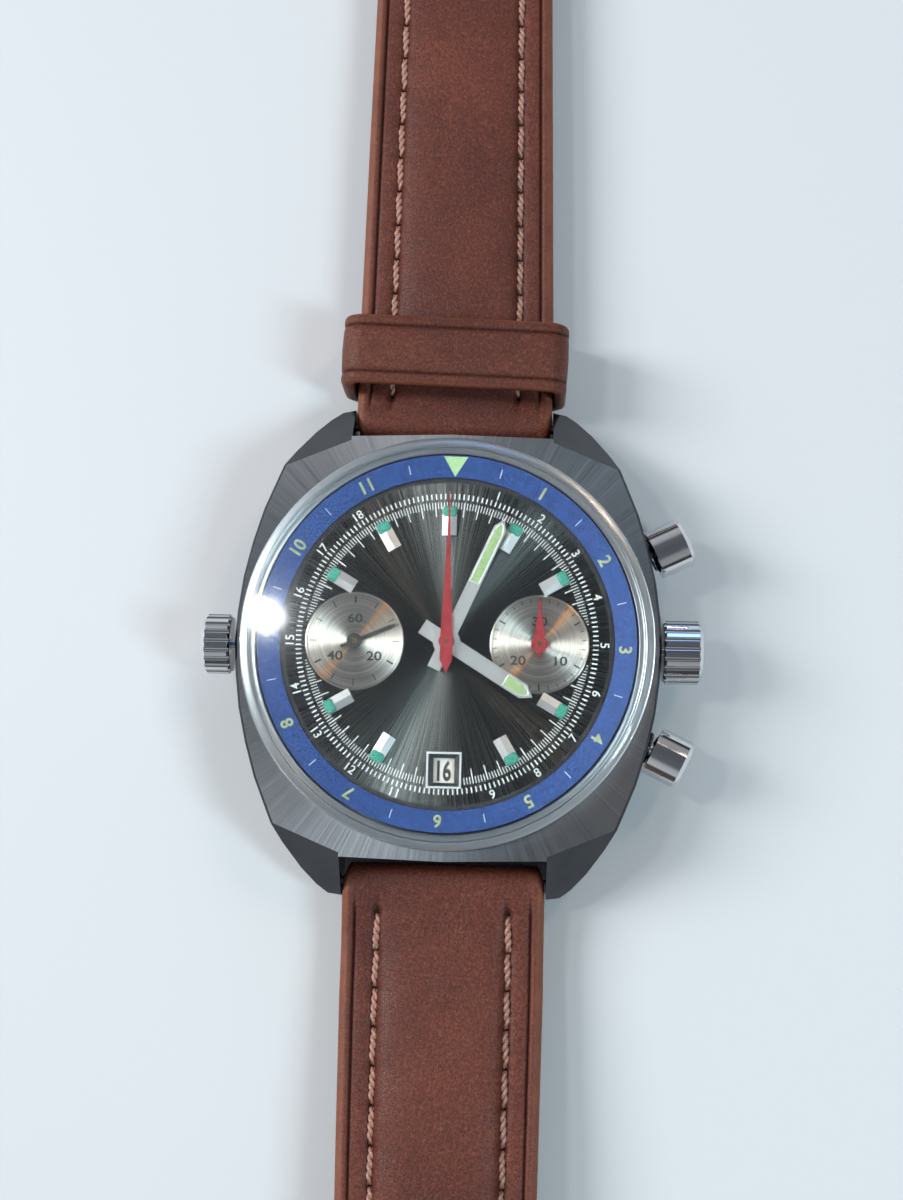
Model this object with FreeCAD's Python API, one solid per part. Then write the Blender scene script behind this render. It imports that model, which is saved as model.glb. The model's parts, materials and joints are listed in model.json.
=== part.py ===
import FreeCAD, Part
import math
import os

# Chronograph wristwatch, in millimetres. The origin is the centre of the case
# back's outer flat face; +Y points to 12 o'clock, +X to the winding crown and
# +Z out through the crystal.

V = FreeCAD.Vector
X_AXIS = V(1, 0, 0)
Z_AXIS = V(0, 0, 1)

# ---------------------------------------------------------------- case sizes
LUG_GAP = 18.0                 # strap width between the lugs
CASE_HALF_WIDTH = 18.75        # at 3 and 9 o'clock
CASE_BOTTOM = 0.7
CASE_TOP = 8.0
SHOULDER_Y = 18.25             # case wall seen between the lugs
LUG_TIP_Y = 21.9
LUG_TIP_DROP = 4.0             # how far the lug bevel falls to the tip
LUG_BOTTOM_TIP = 1.3
CASE_EDGE = 0.22               # broken edge round the brushed top
BORE_R = 15.6                  # movement space
CHANNEL_R = 16.5               # room for the turning inner ring
CHANNEL_Z = 6.45
CRYSTAL_R = 18.0
CRYSTAL_SEAT_Z = 7.0
CRYSTAL_WALL = 0.9
CRYSTAL_EDGE_Z = 10.8
CRYSTAL_TOP_Z = 12.6
CRYSTAL_THICK = 1.4
BACK_THICK = 1.3
BACK_R = 14.2
BACK_RING_R = 16.4
SPRING_BAR_Y = 20.6
SPRING_BAR_Z = 3.2
SPRING_BAR_R = 0.75
BAR_TIP_R = 0.4
RUN = 0.05                     # running clearance on a radius

# ------------------------------------------------------- crowns and pushers
STEM_Z = 5.3
STEM_R = 0.5
TUBE_R = 1.0
TUBE_IN = 15.7                 # where the tubes start and end, from the centre
TUBE_OUT = 18.5
CROWN_IN = 18.95
CROWN_OUT = 22.4
CROWN_R = 2.8
LEFT_CROWN_IN = 19.25
LEFT_CROWN_OUT = 21.8
LEFT_CROWN_R = 2.65
PUSHER_ANGLE = 25.5
PUSHER_IN = 20.1
PUSHER_OUT = 23.3
PUSHER_R = 2.2
PUSHER_TIP = 14.7
PUSHER_FLOOR = 18.5            # floor of the pocket that the cap sinks into

# ------------------------------------------------------------- inner bezel
BEZEL_IN = 14.5
BEZEL_OUT = 16.35
BEZEL_SKIRT_IN = 15.8
BEZEL_TOP_IN = 9.35
BEZEL_TOP_OUT = 9.85
BEZEL_TEETH = 108
BEZEL_PINION_TEETH = 10
BEZEL_PINION_R = 1.5           # pitch radius

# ------------------------------------------------------------ dial and hands
DIAL_R = 15.55
DIAL_Z = 8.6
DIAL_TOP = 9.0
SUB_X = 8.0                    # centres of the two small dials
SUB_R = 4.3
SUB_DEPTH = 0.1
DATE_Y = -11.0
DATE_W = 3.0
DATE_H = 3.1
DATE_RIM = 0.16                # the frame's thin raised line
DATE_RIM_H = 0.15
DATE_OPENING = (1.83, 2.17)    # the opening at the dial's lower face
MARKER_IN = 9.4
MARKER_OUT = 11.9
MARKER_W = 1.25
HOUR_ANGLE = 122.0
MINUTE_ANGLE = 24.0
CHRONO_ANGLE = 0.0
SMALL_SECONDS_ANGLE = 67.0
HOUR_HAND = (8.8, 2.5, 1.35, 9.35, 9.55)      # reach, tail, width, z low, z high
MINUTE_HAND = (11.8, 2.6, 1.15, 9.7, 9.88)
HAND_POINT = 0.95              # length of a baton hand's pointed end
CHRONO_HAND = (13.1, 2.85, 1.06, 10.1, 10.2)
SMALL_HAND_Z = (9.1, 9.2)
HOUR_TUBE_R = 0.88             # the hour hand's seat
CANNON_R = 0.68                # the minute hand's seat

# ---------------------------------------------------------------- movement
PLATE_R = 15.5
PLATE_Z = (6.2, 7.6)
BRIDGE_Z = (3.75, 4.35)
CHRONO_BRIDGE_Z = (1.65, 2.1)
LEVER_Z = (2.2, 2.5)
CHRONO_WHEEL_Z = (2.65, 2.9)
RATCHET_Z = (3.4, 3.7)
BARREL_ANGLE = 60.0
ESCAPE_ANGLE = -105.0          # seen from the fourth wheel's arbor
BALANCE = (-3.6, -10.0)
BALANCE_R = 3.95
BRIDGE_FEET = ((9.8, 9.4), (-9.5, 9.5), (-13.2, -3.0), (5.2, -9.0), (0.5, 13.3))
MINUTE_ARBOR = (2.598, -1.5)   # 3.0 from the centre
STEM_SLOT_X = 8.6              # the keyless works' slot starts beside the counter's arbor
FORK_REACH = 3.3               # pallet arbor from the escape arbor
LEVER_PIVOT = (11.6, 6.4)      # a chronograph lever's pivot, in its pusher's own frame

# Teeth and modules of the wheels: each pair shares one module.
BARREL_TEETH, CENTRE_PINION, BARREL_MODULE = 72, 12, 0.15
CENTRE_TEETH, THIRD_PINION, CENTRE_MODULE = 80, 10, 0.12
THIRD_TEETH, FOURTH_PINION, THIRD_MODULE = 75, 10, 0.105
FOURTH_TEETH, ESCAPE_PINION, FOURTH_MODULE = 96, 8, 0.08
RATCHET_TEETH, CROWN_TEETH, WINDING_TEETH, WINDING_MODULE = 42, 31, 16, 0.2

# ------------------------------------------------------------------- strap
STRAP_BOTTOM = 1.35
STRAP_HALF_W = 8.9
STRAP_END_R = 1.6
BUCKLE_SIDE = 75.0             # spring bar to buckle bar
TAIL_SIDE = 115.0              # spring bar to the pointed tip
BUCKLE_Y = SPRING_BAR_Y + BUCKLE_SIDE
BUCKLE_HALF_W = 8.0            # strap half width at the buckle
TAIL_HALF_W = 8.0
BUCKLE_BAR_Z = 1.75
KEEPER_WALL = 1.0
FREE_KEEPER = (23.3, 29.7, 10.2, 0.1, 8.2)    # y low, y high, half width, z low, z high
FIXED_KEEPER = (84.5, 90.0, 9.3, STRAP_BOTTOM - KEEPER_WALL, 7.2)
HOLE_R = 0.9
HOLE_COUNT = 7
HOLE_PITCH = 7.0


# ================================================================== helpers
def cyl(r, z0, z1, x=0.0, y=0.0):
    return Part.makeCylinder(r, z1 - z0, V(x, y, z0))


def ring(r_in, r_out, z0, z1, x=0.0, y=0.0):
    return cyl(r_out, z0, z1, x, y).cut(cyl(r_in, z0 - 1, z1 + 1, x, y))


def box(x0, x1, y0, y1, z0, z1):
    return Part.makeBox(x1 - x0, y1 - y0, z1 - z0, V(x0, y0, z0))


def face_of(points):
    wire = Part.makePolygon([V(*p) for p in points] + [V(*points[0])])
    return Part.Face(wire)


def prism(points, z0, z1):
    return face_of([(x, y, z0) for x, y in points]).extrude(V(0, 0, z1 - z0))


def side_prism(points, half_width):
    """A solid of the given side outline (y, z), the same all across x."""
    return face_of([(-half_width, y, z) for y, z in points]).extrude(V(2 * half_width, 0, 0))


def lathe(points):
    """A solid turned about Z from an outline of (radius, z)."""
    return face_of([(r, 0, z) for r, z in points]).revolve(V(0, 0, 0), Z_AXIS, 360)


def along_x(shape):
    """Turns a shape built up Z so that it lies along +X at the stems' height."""
    turned = shape.copy()
    turned.rotate(V(0, 0, 0), V(0, 1, 0), 90)
    turned.translate(V(0, 0, STEM_Z))
    return turned


def spun(shape, degrees, x=0.0, y=0.0):
    turned = shape.copy()
    turned.rotate(V(x, y, 0), Z_AXIS, degrees)
    return turned


def fuse(*shapes):
    joined = shapes[0].multiFuse(list(shapes[1:])) if len(shapes) > 1 else shapes[0]
    return joined.removeSplitter()


def toward(a, b):
    return math.atan2(b[1] - a[1], b[0] - a[0])


def polar(start, degrees, r):
    a = math.radians(degrees)
    return (start[0] + r * math.cos(a), start[1] + r * math.sin(a))


def gear_points(teeth, module, phase, addendum=0.85, dedendum=1.1):
    """A wheel's outline of flat-sided teeth, with one tooth centred on phase."""
    pitch_r = module * teeth / 2
    tip = pitch_r + addendum * module
    root = pitch_r - dedendum * module
    step = 2 * math.pi / teeth
    shape = ((root, -0.27), (tip, -0.12), (tip, 0.12), (root, 0.27))
    points = []
    for n in range(teeth):
        for r, part in shape:
            a = phase + (n + part) * step
            points.append((r * math.cos(a), r * math.sin(a)))
    return points


def gear(centre, teeth, module, z0, z1, phase=0.0):
    shifted = [(x + centre[0], y + centre[1]) for x, y in gear_points(teeth, module, phase)]
    return prism(shifted, z0, z1)


def gap_phase(teeth, direction):
    """The phase that puts a gap, not a tooth, in the given direction."""
    return direction + math.pi / teeth


def meshing_phase(teeth, centre, mate_teeth, mate_centre, mate_phase):
    """The phase that brings a wheel's teeth into the gaps of its mate."""
    out = toward(mate_centre, centre)
    mate_part = (out - mate_phase) * mate_teeth / (2 * math.pi)
    return out + math.pi - (0.5 - mate_part) * 2 * math.pi / teeth


def third_place():
    """Where the third wheel reaches both the centre and the fourth arbor."""
    from_centre = CENTRE_MODULE * (CENTRE_TEETH + THIRD_PINION) / 2
    from_fourth = THIRD_MODULE * (THIRD_TEETH + FOURTH_PINION) / 2
    x = (from_centre ** 2 + SUB_X ** 2 - from_fourth ** 2) / (2 * SUB_X)
    return (-x, -math.sqrt(from_centre ** 2 - x ** 2))


BARREL = polar((0, 0), BARREL_ANGLE, BARREL_MODULE * (BARREL_TEETH + CENTRE_PINION) / 2)
FOURTH = (-SUB_X, 0.0)
COUNTER = (SUB_X, 0.0)
THIRD = third_place()
ESCAPE = polar(FOURTH, ESCAPE_ANGLE, FOURTH_MODULE * (FOURTH_TEETH + ESCAPE_PINION) / 2)
FORK = polar(ESCAPE, math.degrees(toward(ESCAPE, BALANCE)), FORK_REACH)


def windows(centre, r_in, r_out, arms, arm_width, z0, z1):
    """What is cut from a wheel to leave arms between its hub and rim."""
    cutter = ring(r_in, r_out, z0 - 1, z1 + 1, *centre)
    for n in range(arms):
        arm = box(centre[0], centre[0] + r_out + 1, centre[1] - arm_width / 2,
                  centre[1] + arm_width / 2, z0 - 1, z1 + 1)
        cutter = cutter.cut(spun(arm, 360.0 * n / arms, *centre))
    return cutter


def arbor(centre, r, z0, z1):
    return cyl(r, z0, z1, *centre)


# ===================================================================== case
def quarter_outline():
    """The case seen from above, first quarter, from 3 o'clock to the lug's inner face."""
    tip_in = (LUG_GAP / 2, LUG_TIP_Y)
    return [(CASE_HALF_WIDTH, 0.0), (18.6, 2.6), (18.2, 5.8), (17.5, 8.9), (16.6, 11.9),
            (15.5, 14.6), (15.0, 15.8), (14.0, 17.5), (12.5, 19.6), (11.2, 21.0),
            (10.2, 21.75), tip_in, (LUG_GAP / 2, SHOULDER_Y + 0.35), (0.0, SHOULDER_Y + 0.6)]


def case_outline():
    first = quarter_outline()
    second = [(-x, y) for x, y in reversed(first[:-1])]
    upper = first + second
    lower = [(x, -y) for x, y in reversed(upper[1:-1])]
    return upper + lower


def lug_wedge(sign_x, sign_y):
    """The corner cut away above one lug, which leaves its sloping bevel."""
    inner = (LUG_GAP / 2 - 0.5, SHOULDER_Y + 0.2)
    outer = (15.0, 15.75)
    along = V(outer[0] - inner[0], outer[1] - inner[1], 0).normalize()
    across = V(-along.y, along.x, 0)
    reach = 6.0
    drop = LUG_TIP_DROP * reach / 3.6
    start = V(inner[0], inner[1], 0) - along * 3
    end = V(outer[0], outer[1], 0) + along * 4
    top = CASE_TOP + 3

    def corner(point, out, z):
        return V(point.x + across.x * out, point.y + across.y * out, z)

    section = [corner(start, 0, CASE_TOP), corner(start, reach, CASE_TOP - drop),
               corner(start, reach, top), corner(start, 0, top)]
    wedge = Part.Face(Part.makePolygon(section + [section[0]])).extrude(end - start)
    keep_out = box(0, LUG_GAP / 2 - 0.001, 0, SHOULDER_Y + 5, 0, top)
    wedge = wedge.cut(keep_out)
    if sign_x < 0:
        wedge = wedge.mirror(V(0, 0, 0), X_AXIS)
    if sign_y < 0:
        wedge = wedge.mirror(V(0, 0, 0), V(0, 1, 0))
    return wedge


def lug_undercut(sign_y):
    """The case's lower edge rises a little towards the lug tips."""
    points = [(sign_y * 15.0, CASE_BOTTOM - 1), (sign_y * 15.0, CASE_BOTTOM),
              (sign_y * (LUG_TIP_Y + 0.1), LUG_BOTTOM_TIP), (sign_y * (LUG_TIP_Y + 0.1), CASE_BOTTOM - 1)]
    return side_prism(points, 20)


def pusher_frame(shape, side):
    """Puts a shape lying along +X onto one pusher's axis."""
    return spun(shape, side * PUSHER_ANGLE)


def case_middle():
    outline = case_outline()
    body = prism(outline, CASE_BOTTOM, CASE_TOP)
    rim = [e for e in body.Edges if abs(e.BoundBox.ZMin - CASE_TOP) < 1e-6
           and abs(e.BoundBox.ZMax - CASE_TOP) < 1e-6
           and e.BoundBox.YMax < 15.9 and e.BoundBox.YMin > -15.9]
    body = body.makeChamfer(CASE_EDGE, rim)
    for sx in (1, -1):
        for sy in (1, -1):
            body = body.cut(lug_wedge(sx, sy))
    for sy in (1, -1):
        body = body.cut(lug_undercut(sy))
        body = body.cut(along_x(cyl(BAR_TIP_R + RUN, -9.9, 9.9)).translated(
            V(0, sy * SPRING_BAR_Y, SPRING_BAR_Z - STEM_Z)))
    bore = lathe([(0, CASE_BOTTOM - 1), (BACK_RING_R + 0.05, CASE_BOTTOM - 1),
                  (BACK_RING_R + 0.05, BACK_THICK + 0.05), (BORE_R, BACK_THICK + 0.05),
                  (BORE_R, CHANNEL_Z), (CHANNEL_R, CHANNEL_Z), (CHANNEL_R, CRYSTAL_SEAT_Z),
                  (CRYSTAL_R, CRYSTAL_SEAT_Z), (CRYSTAL_R, CASE_TOP + 1), (0, CASE_TOP + 1)])
    body = body.cut(bore)
    tube_hole = along_x(cyl(TUBE_R, 14.0, 24.0))
    pusher_pocket = along_x(cyl(PUSHER_R + 0.15, PUSHER_FLOOR, 26.0))
    pinion_pocket = fuse(along_x(cyl(1.95, 14.5, 17.0)), box(14.5, 17.0, -1.6, 1.6, STEM_Z, CRYSTAL_SEAT_Z))
    body = body.cut(tube_hole)
    for side in (1, -1):
        body = body.cut(pusher_frame(tube_hole, side)).cut(pusher_frame(pusher_pocket, side))
    left = along_x(cyl(STEM_R + 0.05, 14.0, 24.0))
    left_pocket = along_x(cyl(TUBE_R, 17.4, 24.0))
    for cutter in (left, left_pocket, pinion_pocket):
        body = body.cut(spun(cutter, 180))
    return body


def case_back():
    plate = lathe([(0, 0), (BACK_R - 0.7, 0), (BACK_R, 0.35), (BACK_R, 0.9), (15.4, 0.9),
                   (15.4, BACK_THICK), (0, BACK_THICK)])
    return plate.cut(ring(12.6, 12.9, -0.1, 0.08))


def back_ring():
    body = lathe([(BACK_R + 0.05, 0.2), (BACK_RING_R - 0.4, 0.2), (BACK_RING_R, 0.55),
                  (BACK_RING_R, BACK_THICK), (15.45, BACK_THICK), (15.45, 0.85), (BACK_R + 0.05, 0.85)])
    for n in range(6):
        notch = box(BACK_RING_R - 1.2, BACK_RING_R - 0.3, -0.9, 0.9, 0, 0.5)
        body = body.cut(spun(notch, 60 * n + 30))
    return body


def back_gasket():
    return ring(14.9, 15.45, BACK_THICK, BACK_THICK + 0.05)


def crystal():
    """A domed acrylic crystal: a skirt, a rounded shoulder and a shallow dome."""
    def dome(r_edge, z_edge, z_top, steps=10):
        sag = z_top - z_edge
        radius = (r_edge ** 2 + sag ** 2) / (2 * sag)
        points = []
        for n in range(steps + 1):
            r = r_edge * (steps - n) / steps
            points.append((r, z_top - radius + math.sqrt(radius ** 2 - r ** 2)))
        return points

    edge = CRYSTAL_R - 0.7
    outer = dome(edge, CRYSTAL_EDGE_Z + 0.35, CRYSTAL_TOP_Z)
    inner = dome(CRYSTAL_R - CRYSTAL_WALL, CRYSTAL_EDGE_Z - 0.9, CRYSTAL_TOP_Z - CRYSTAL_THICK)
    outline = [(CRYSTAL_R - CRYSTAL_WALL, CRYSTAL_SEAT_Z), (CRYSTAL_R, CRYSTAL_SEAT_Z),
               (CRYSTAL_R, CRYSTAL_EDGE_Z - 0.35), (CRYSTAL_R - 0.25, CRYSTAL_EDGE_Z + 0.1)]
    return lathe(outline + outer + list(reversed(inner)))


def crystal_tension_ring():
    r_out = CRYSTAL_R - CRYSTAL_WALL
    return lathe([(CHANNEL_R, CRYSTAL_SEAT_Z), (r_out, CRYSTAL_SEAT_Z), (r_out, 9.7),
                  (CHANNEL_R + 0.25, 9.7), (CHANNEL_R, 9.5)])


def case_tubes():
    tube = along_x(ring(STEM_R + 0.05, TUBE_R, TUBE_IN, TUBE_OUT))
    left = along_x(ring(STEM_R + 0.05, TUBE_R, 17.45, 17.45 + (TUBE_OUT - TUBE_IN) / 2))
    tubes = [tube, pusher_frame(tube, 1), pusher_frame(tube, -1), spun(left, 180)]
    return Part.makeCompound(tubes)


# ------------------------------------------------------- crowns and pushers
def fluted_crown(z0, z1, radius, ribs):
    """A crown turned up Z, with coarse flutes and a bevelled outer end."""
    body = lathe([(0, z0), (radius - 0.25, z0), (radius, z0 + 0.25), (radius, z1 - 0.35),
                  (radius - 0.45, z1), (0, z1)])
    for n in range(ribs):
        angle = 360.0 * n / ribs
        groove = cyl(0.24, z0 - 1, z1 - 0.28, radius + 0.05, 0)
        body = body.cut(spun(groove, angle))
    return body


def winding_crown():
    body = fluted_crown(CROWN_IN, CROWN_OUT, CROWN_R, 20)
    body = body.cut(cyl(STEM_R, CROWN_IN - 1, CROWN_IN + 1.6))
    return along_x(body)


def winding_stem():
    shaft = cyl(STEM_R, 12.0, CROWN_IN + 1.6)
    square = Part.makeBox(0.6, 0.6, 3.0, V(-0.3, -0.3, 9.1))
    collar = ring(0.3, STEM_R, 13.9, 14.25)
    return along_x(fuse(shaft, square).cut(collar))


def setting_lever():
    """The small plate whose nose sits in the stem's groove and follows it out."""
    outline = [(13.95, -0.9), (14.2, -0.9), (14.2, -3.6), (12.6, -3.6), (12.6, -2.6), (13.95, -2.6)]
    plate = prism(outline, 5.0, 5.6)
    nose = box(13.97, 14.18, -0.9, -0.36, 5.0, 5.6)
    return fuse(plate, nose)


def winding_pinion():
    """Its lowest tooth points down into a gap of the crown wheel."""
    teeth = gear((0, 0), WINDING_TEETH, WINDING_MODULE, 10.9, 11.5).cut(cyl(STEM_R + RUN, 10, 12))
    return along_x(fuse(teeth, ring(STEM_R + RUN, 0.95, 11.5, 12.0)))


def sliding_pinion():
    body = ring(0.45, 1.0, 9.3, 10.8).cut(ring(0.8, 1.1, 9.8, 10.2))
    return along_x(body)


def bezel_stem():
    shaft = cyl(STEM_R, 15.75, LEFT_CROWN_IN + 1.4)
    module = 2 * BEZEL_PINION_R / BEZEL_PINION_TEETH
    pinion = gear((0, 0), BEZEL_PINION_TEETH, module, 15.75, 16.35,
                  gap_phase(BEZEL_PINION_TEETH, math.pi))
    return spun(along_x(fuse(shaft, pinion)), 180)


def bezel_crown():
    body = fluted_crown(LEFT_CROWN_IN, LEFT_CROWN_OUT, LEFT_CROWN_R, 20)
    body = body.cut(cyl(STEM_R, LEFT_CROWN_IN - 1, LEFT_CROWN_IN + 1.4))
    return spun(along_x(body), 180)


def inner_bezel_ring():
    """The ring under the crystal, turned by face teeth on its skirt."""
    flange_z = DIAL_TOP + 0.12
    tooth_root = 7.0
    body = lathe([(BEZEL_IN, flange_z), (BEZEL_SKIRT_IN, flange_z), (BEZEL_SKIRT_IN, tooth_root),
                  (BEZEL_OUT, tooth_root), (BEZEL_OUT, BEZEL_TOP_OUT), (BEZEL_IN, BEZEL_TOP_IN)])
    pitch_line = STEM_Z + BEZEL_PINION_R
    tip = pitch_line - 0.2
    step = 2 * math.pi / BEZEL_TEETH
    middle_r = (BEZEL_SKIRT_IN + BEZEL_OUT) / 2
    wide = 0.52 * step * middle_r
    narrow = 0.26 * step * middle_r
    start = BEZEL_SKIRT_IN + 0.02
    tooth = face_of([(start, -wide / 2, tooth_root), (start, wide / 2, tooth_root),
                     (start, narrow / 2, tip), (start, -narrow / 2, tip)])
    tooth = tooth.extrude(V(BEZEL_OUT - 0.02 - start, 0, 0))
    teeth = [spun(tooth, 360.0 * n / BEZEL_TEETH) for n in range(BEZEL_TEETH)]
    return body.multiFuse(teeth)


def pusher():
    """One pusher along +X: a plain cap, hollow for its spring, on a thin stem."""
    cap = lathe([(0, PUSHER_IN), (PUSHER_R, PUSHER_IN), (PUSHER_R, PUSHER_OUT - 0.35),
                 (PUSHER_R - 0.35, PUSHER_OUT), (0, PUSHER_OUT)])
    hollow = ring(STEM_R, 1.6, PUSHER_IN - 1, PUSHER_OUT - 1.1)
    shaft = cyl(STEM_R, PUSHER_TIP, PUSHER_IN + 1)
    return along_x(fuse(cap.cut(hollow), shaft))


def pusher_spring():
    """A coil between the pocket floor and the roof of the cap's hollow."""
    wire_r = 0.14
    coil_r = 1.25
    low = PUSHER_FLOOR + wire_r + 0.02
    high = PUSHER_OUT - 1.1 - wire_r - 0.02
    turns = 5
    helix = Part.makeHelix((high - low) / turns, high - low, coil_r)
    section = Part.Wire(Part.makeCircle(wire_r, V(coil_r, 0, 0), V(0, 1, 0)))
    coil = Part.Wire(helix).makePipeShell([section], True, True)
    coil.translate(V(0, 0, low))
    return along_x(coil)


# ------------------------------------------------------------ dial and hands
def date_funnel():
    """The cut for the date window, wider at the dial's top than at its lower face."""
    past = 0.1
    top = (DATE_W - 2 * DATE_RIM, DATE_H - 2 * DATE_RIM)
    spread = 1 + past / (DIAL_TOP - DIAL_Z)
    wires = []
    for z, part in ((DIAL_Z - past, 1 - spread), (DIAL_TOP + past, spread)):
        w, h = [(low + (high - low) * part) / 2 for low, high in zip(DATE_OPENING, top)]
        corners = [V(-w, DATE_Y - h, z), V(w, DATE_Y - h, z), V(w, DATE_Y + h, z), V(-w, DATE_Y + h, z)]
        wires.append(Part.makePolygon(corners + [corners[0]]))
    return Part.makeLoft(wires, True, True)


def dial():
    body = cyl(DIAL_R, DIAL_Z, DIAL_TOP)
    for side in (1, -1):
        body = body.cut(cyl(SUB_R, DIAL_TOP - SUB_DEPTH, DIAL_TOP + 1, side * SUB_X, 0))
        body = body.cut(cyl(0.45, DIAL_Z - 1, DIAL_TOP + 1, side * SUB_X, 0))
    body = body.cut(cyl(HOUR_TUBE_R + 0.12, DIAL_Z - 1, DIAL_TOP + 1))
    return body.cut(date_funnel())


def hour_markers():
    """Applied blocks, roof-shaped along their length, at every hour but 3, 6 and 9."""
    half = MARKER_W / 2
    low = DIAL_TOP
    section = [(MARKER_IN, -half, low), (MARKER_IN, half, low), (MARKER_IN, half, low + 0.16),
               (MARKER_IN, 0, low + 0.3), (MARKER_IN, -half, low + 0.16)]
    block = face_of(section).extrude(V(MARKER_OUT - MARKER_IN, 0, 0))
    hours = [1, 2, 4, 5, 7, 8, 10, 11, 12]
    return Part.makeCompound([spun(block, 90 - 30 * h) for h in hours])


def date_window_frame():
    """A thin raised rim round the date window."""
    w, h = DATE_W / 2, DATE_H / 2
    outer = box(-w, w, DATE_Y - h, DATE_Y + h, DIAL_TOP, DIAL_TOP + DATE_RIM_H)
    w, h = w - DATE_RIM, h - DATE_RIM
    return outer.cut(box(-w, w, DATE_Y - h, DATE_Y + h, DIAL_TOP - 1, DIAL_TOP + 1))


def date_ring():
    body = ring(9.9, 12.7, 8.05, 8.3)
    teeth = []
    for n in range(31):
        tooth = prism([(9.95, -0.45), (9.95, 0.45), (9.45, 0.0)], 8.05, 8.3)
        teeth.append(spun(tooth, 360.0 * n / 31 + 5.8))
    return body.multiFuse(teeth)


def baton(spec, hub_r, bore, angle):
    """A baton hand with a square tail and a pointed end, turned to its dial angle."""
    reach, tail, width, z0, z1 = spec
    half = width / 2
    base = [(half, -tail), (half, reach - HAND_POINT), (0.0, reach)]
    outline = base + [(-x, y) for x, y in reversed(base[:-1])]
    blade = prism(outline, z0, z1)
    body = fuse(blade, cyl(hub_r, z0, z1)).cut(cyl(bore, z0 - 1, z1 + 1))
    return spun(body, -angle)


def chrono_seconds_hand():
    """A long needle that narrows in two steps, with a short pointed tail."""
    reach, tail, width, z0, z1 = CHRONO_HAND
    half = width / 2
    base = [(0.0, -tail), (half, -1.6), (half, 0.3), (0.3, 5.0), (0.135, 9.0), (0.05, reach)]
    outline = base + [(-x, y) for x, y in reversed(base[1:])]
    body = fuse(prism(outline, z0, z1), cyl(half + 0.1, z0, z1 + 0.05)).cut(cyl(0.18, z0 - 1, z1 + 1))
    return spun(body, -CHRONO_ANGLE)


def small_hand(centre, base, hub_r, angle):
    """A short hand on one of the small dials: base is its right-hand outline, tail to tip."""
    z0, z1 = SMALL_HAND_Z
    outline = base + [(-x, y) for x, y in reversed(base)]
    body = fuse(prism(outline, z0, z1), cyl(hub_r, z0, z1 + 0.05)).cut(cyl(0.25, z0 - 1, z1 + 1))
    return spun(body, -angle).translated(V(centre[0], centre[1], 0))


def small_seconds_hand():
    return small_hand(FOURTH, [(0.13, -1.3), (0.13, 3.4), (0.05, 3.8)], 0.65, SMALL_SECONDS_ANGLE)


def minute_counter_hand():
    base = [(0.13, -1.2), (0.2, 0.0), (0.45, 0.9), (0.28, 1.9), (0.15, 2.8), (0.11, 3.8)]
    return small_hand(COUNTER, base, 0.73, 0.0)


# ---------------------------------------------------------------- movement
def pivot_holes(z0, z1, radii):
    """Clearance holes for arbors: a list of (centre, radius)."""
    return [cyl(r, z0 - 1, z1 + 1, *centre) for centre, r in radii]


def main_plate():
    z0, z1 = PLATE_Z
    body = cyl(PLATE_R, z0, z1)
    centre_hole = [((0, 0), 0.5), ((SUB_X, 0), 0.4), (FOURTH, 0.3), (BARREL, 0.55),
                   (THIRD, 0.25), (ESCAPE, 0.2), (FORK, 0.2), (BALANCE, 0.25), (MINUTE_ARBOR, 0.25)]
    for cutter in pivot_holes(z0, z1, centre_hole):
        body = body.cut(cutter)
    stem_slot = box(STEM_SLOT_X, 16.0, -1.95, 1.95, z0 - 1, 7.15)
    return body.cut(stem_slot)


def train_bridge():
    """The three-quarter bridge over the barrel and train, open round the balance."""
    z0, z1 = BRIDGE_Z
    body = cyl(14.6, z0, z1)
    body = body.cut(cyl(BALANCE_R + 0.5, z0 - 1, z1 + 1, *BALANCE))
    body = body.cut(box(-8.0, 1.2, -16.0, BALANCE[1], z0 - 1, z1 + 1))
    body = body.cut(box(1.0, 5.4, -16.0, -11.9, z0 - 1, z1 + 1))
    body = body.cut(box(STEM_SLOT_X, 16.0, -1.95, 1.95, z0 - 1, z1 + 1))
    for side in (1, -1):
        slot = spun(box(12.0, 15.6, -1.6, 1.6, z0 - 1, z1 + 1), side * PUSHER_ANGLE)
        body = body.cut(slot)
    holes = [((0, 0), 0.5), ((SUB_X, 0), 0.4), (FOURTH, 0.3), (BARREL, 0.55), (THIRD, 0.25),
             (ESCAPE, 0.2), (FORK, 0.2)]
    for cutter in pivot_holes(z0, z1, holes):
        body = body.cut(cutter)
    feet = [cyl(0.9, z1 - 0.05, PLATE_Z[0], x, y) for x, y in BRIDGE_FEET]
    post = cyl(0.35, LEVER_Z[0] - 0.15, z0 + 0.05, *LEVER_PIVOT)
    posts = [spun(post, PUSHER_ANGLE), spun(post.mirror(V(0, 0, 0), V(0, 1, 0)), -PUSHER_ANGLE)]
    return fuse(body, *feet, *posts)


def balance_cock():
    z0, z1 = 3.1, 3.6
    arm = prism([(-4.8, -10.0), (-4.6, -9.0), (-2.6, -9.0), (-2.4, -10.0), (2.6, -12.2), (5.0, -12.2),
                 (5.0, -14.0), (1.6, -14.4), (-2.0, -11.2), (-4.4, -11.2)], z0, z1)
    foot = prism([(2.2, -12.3), (5.0, -12.3), (5.0, -14.0), (1.9, -14.3)], z1 - 0.05, PLATE_Z[0])
    return fuse(arm, foot).cut(cyl(0.16, z0 - 1, z1 + 1, *BALANCE))


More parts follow.
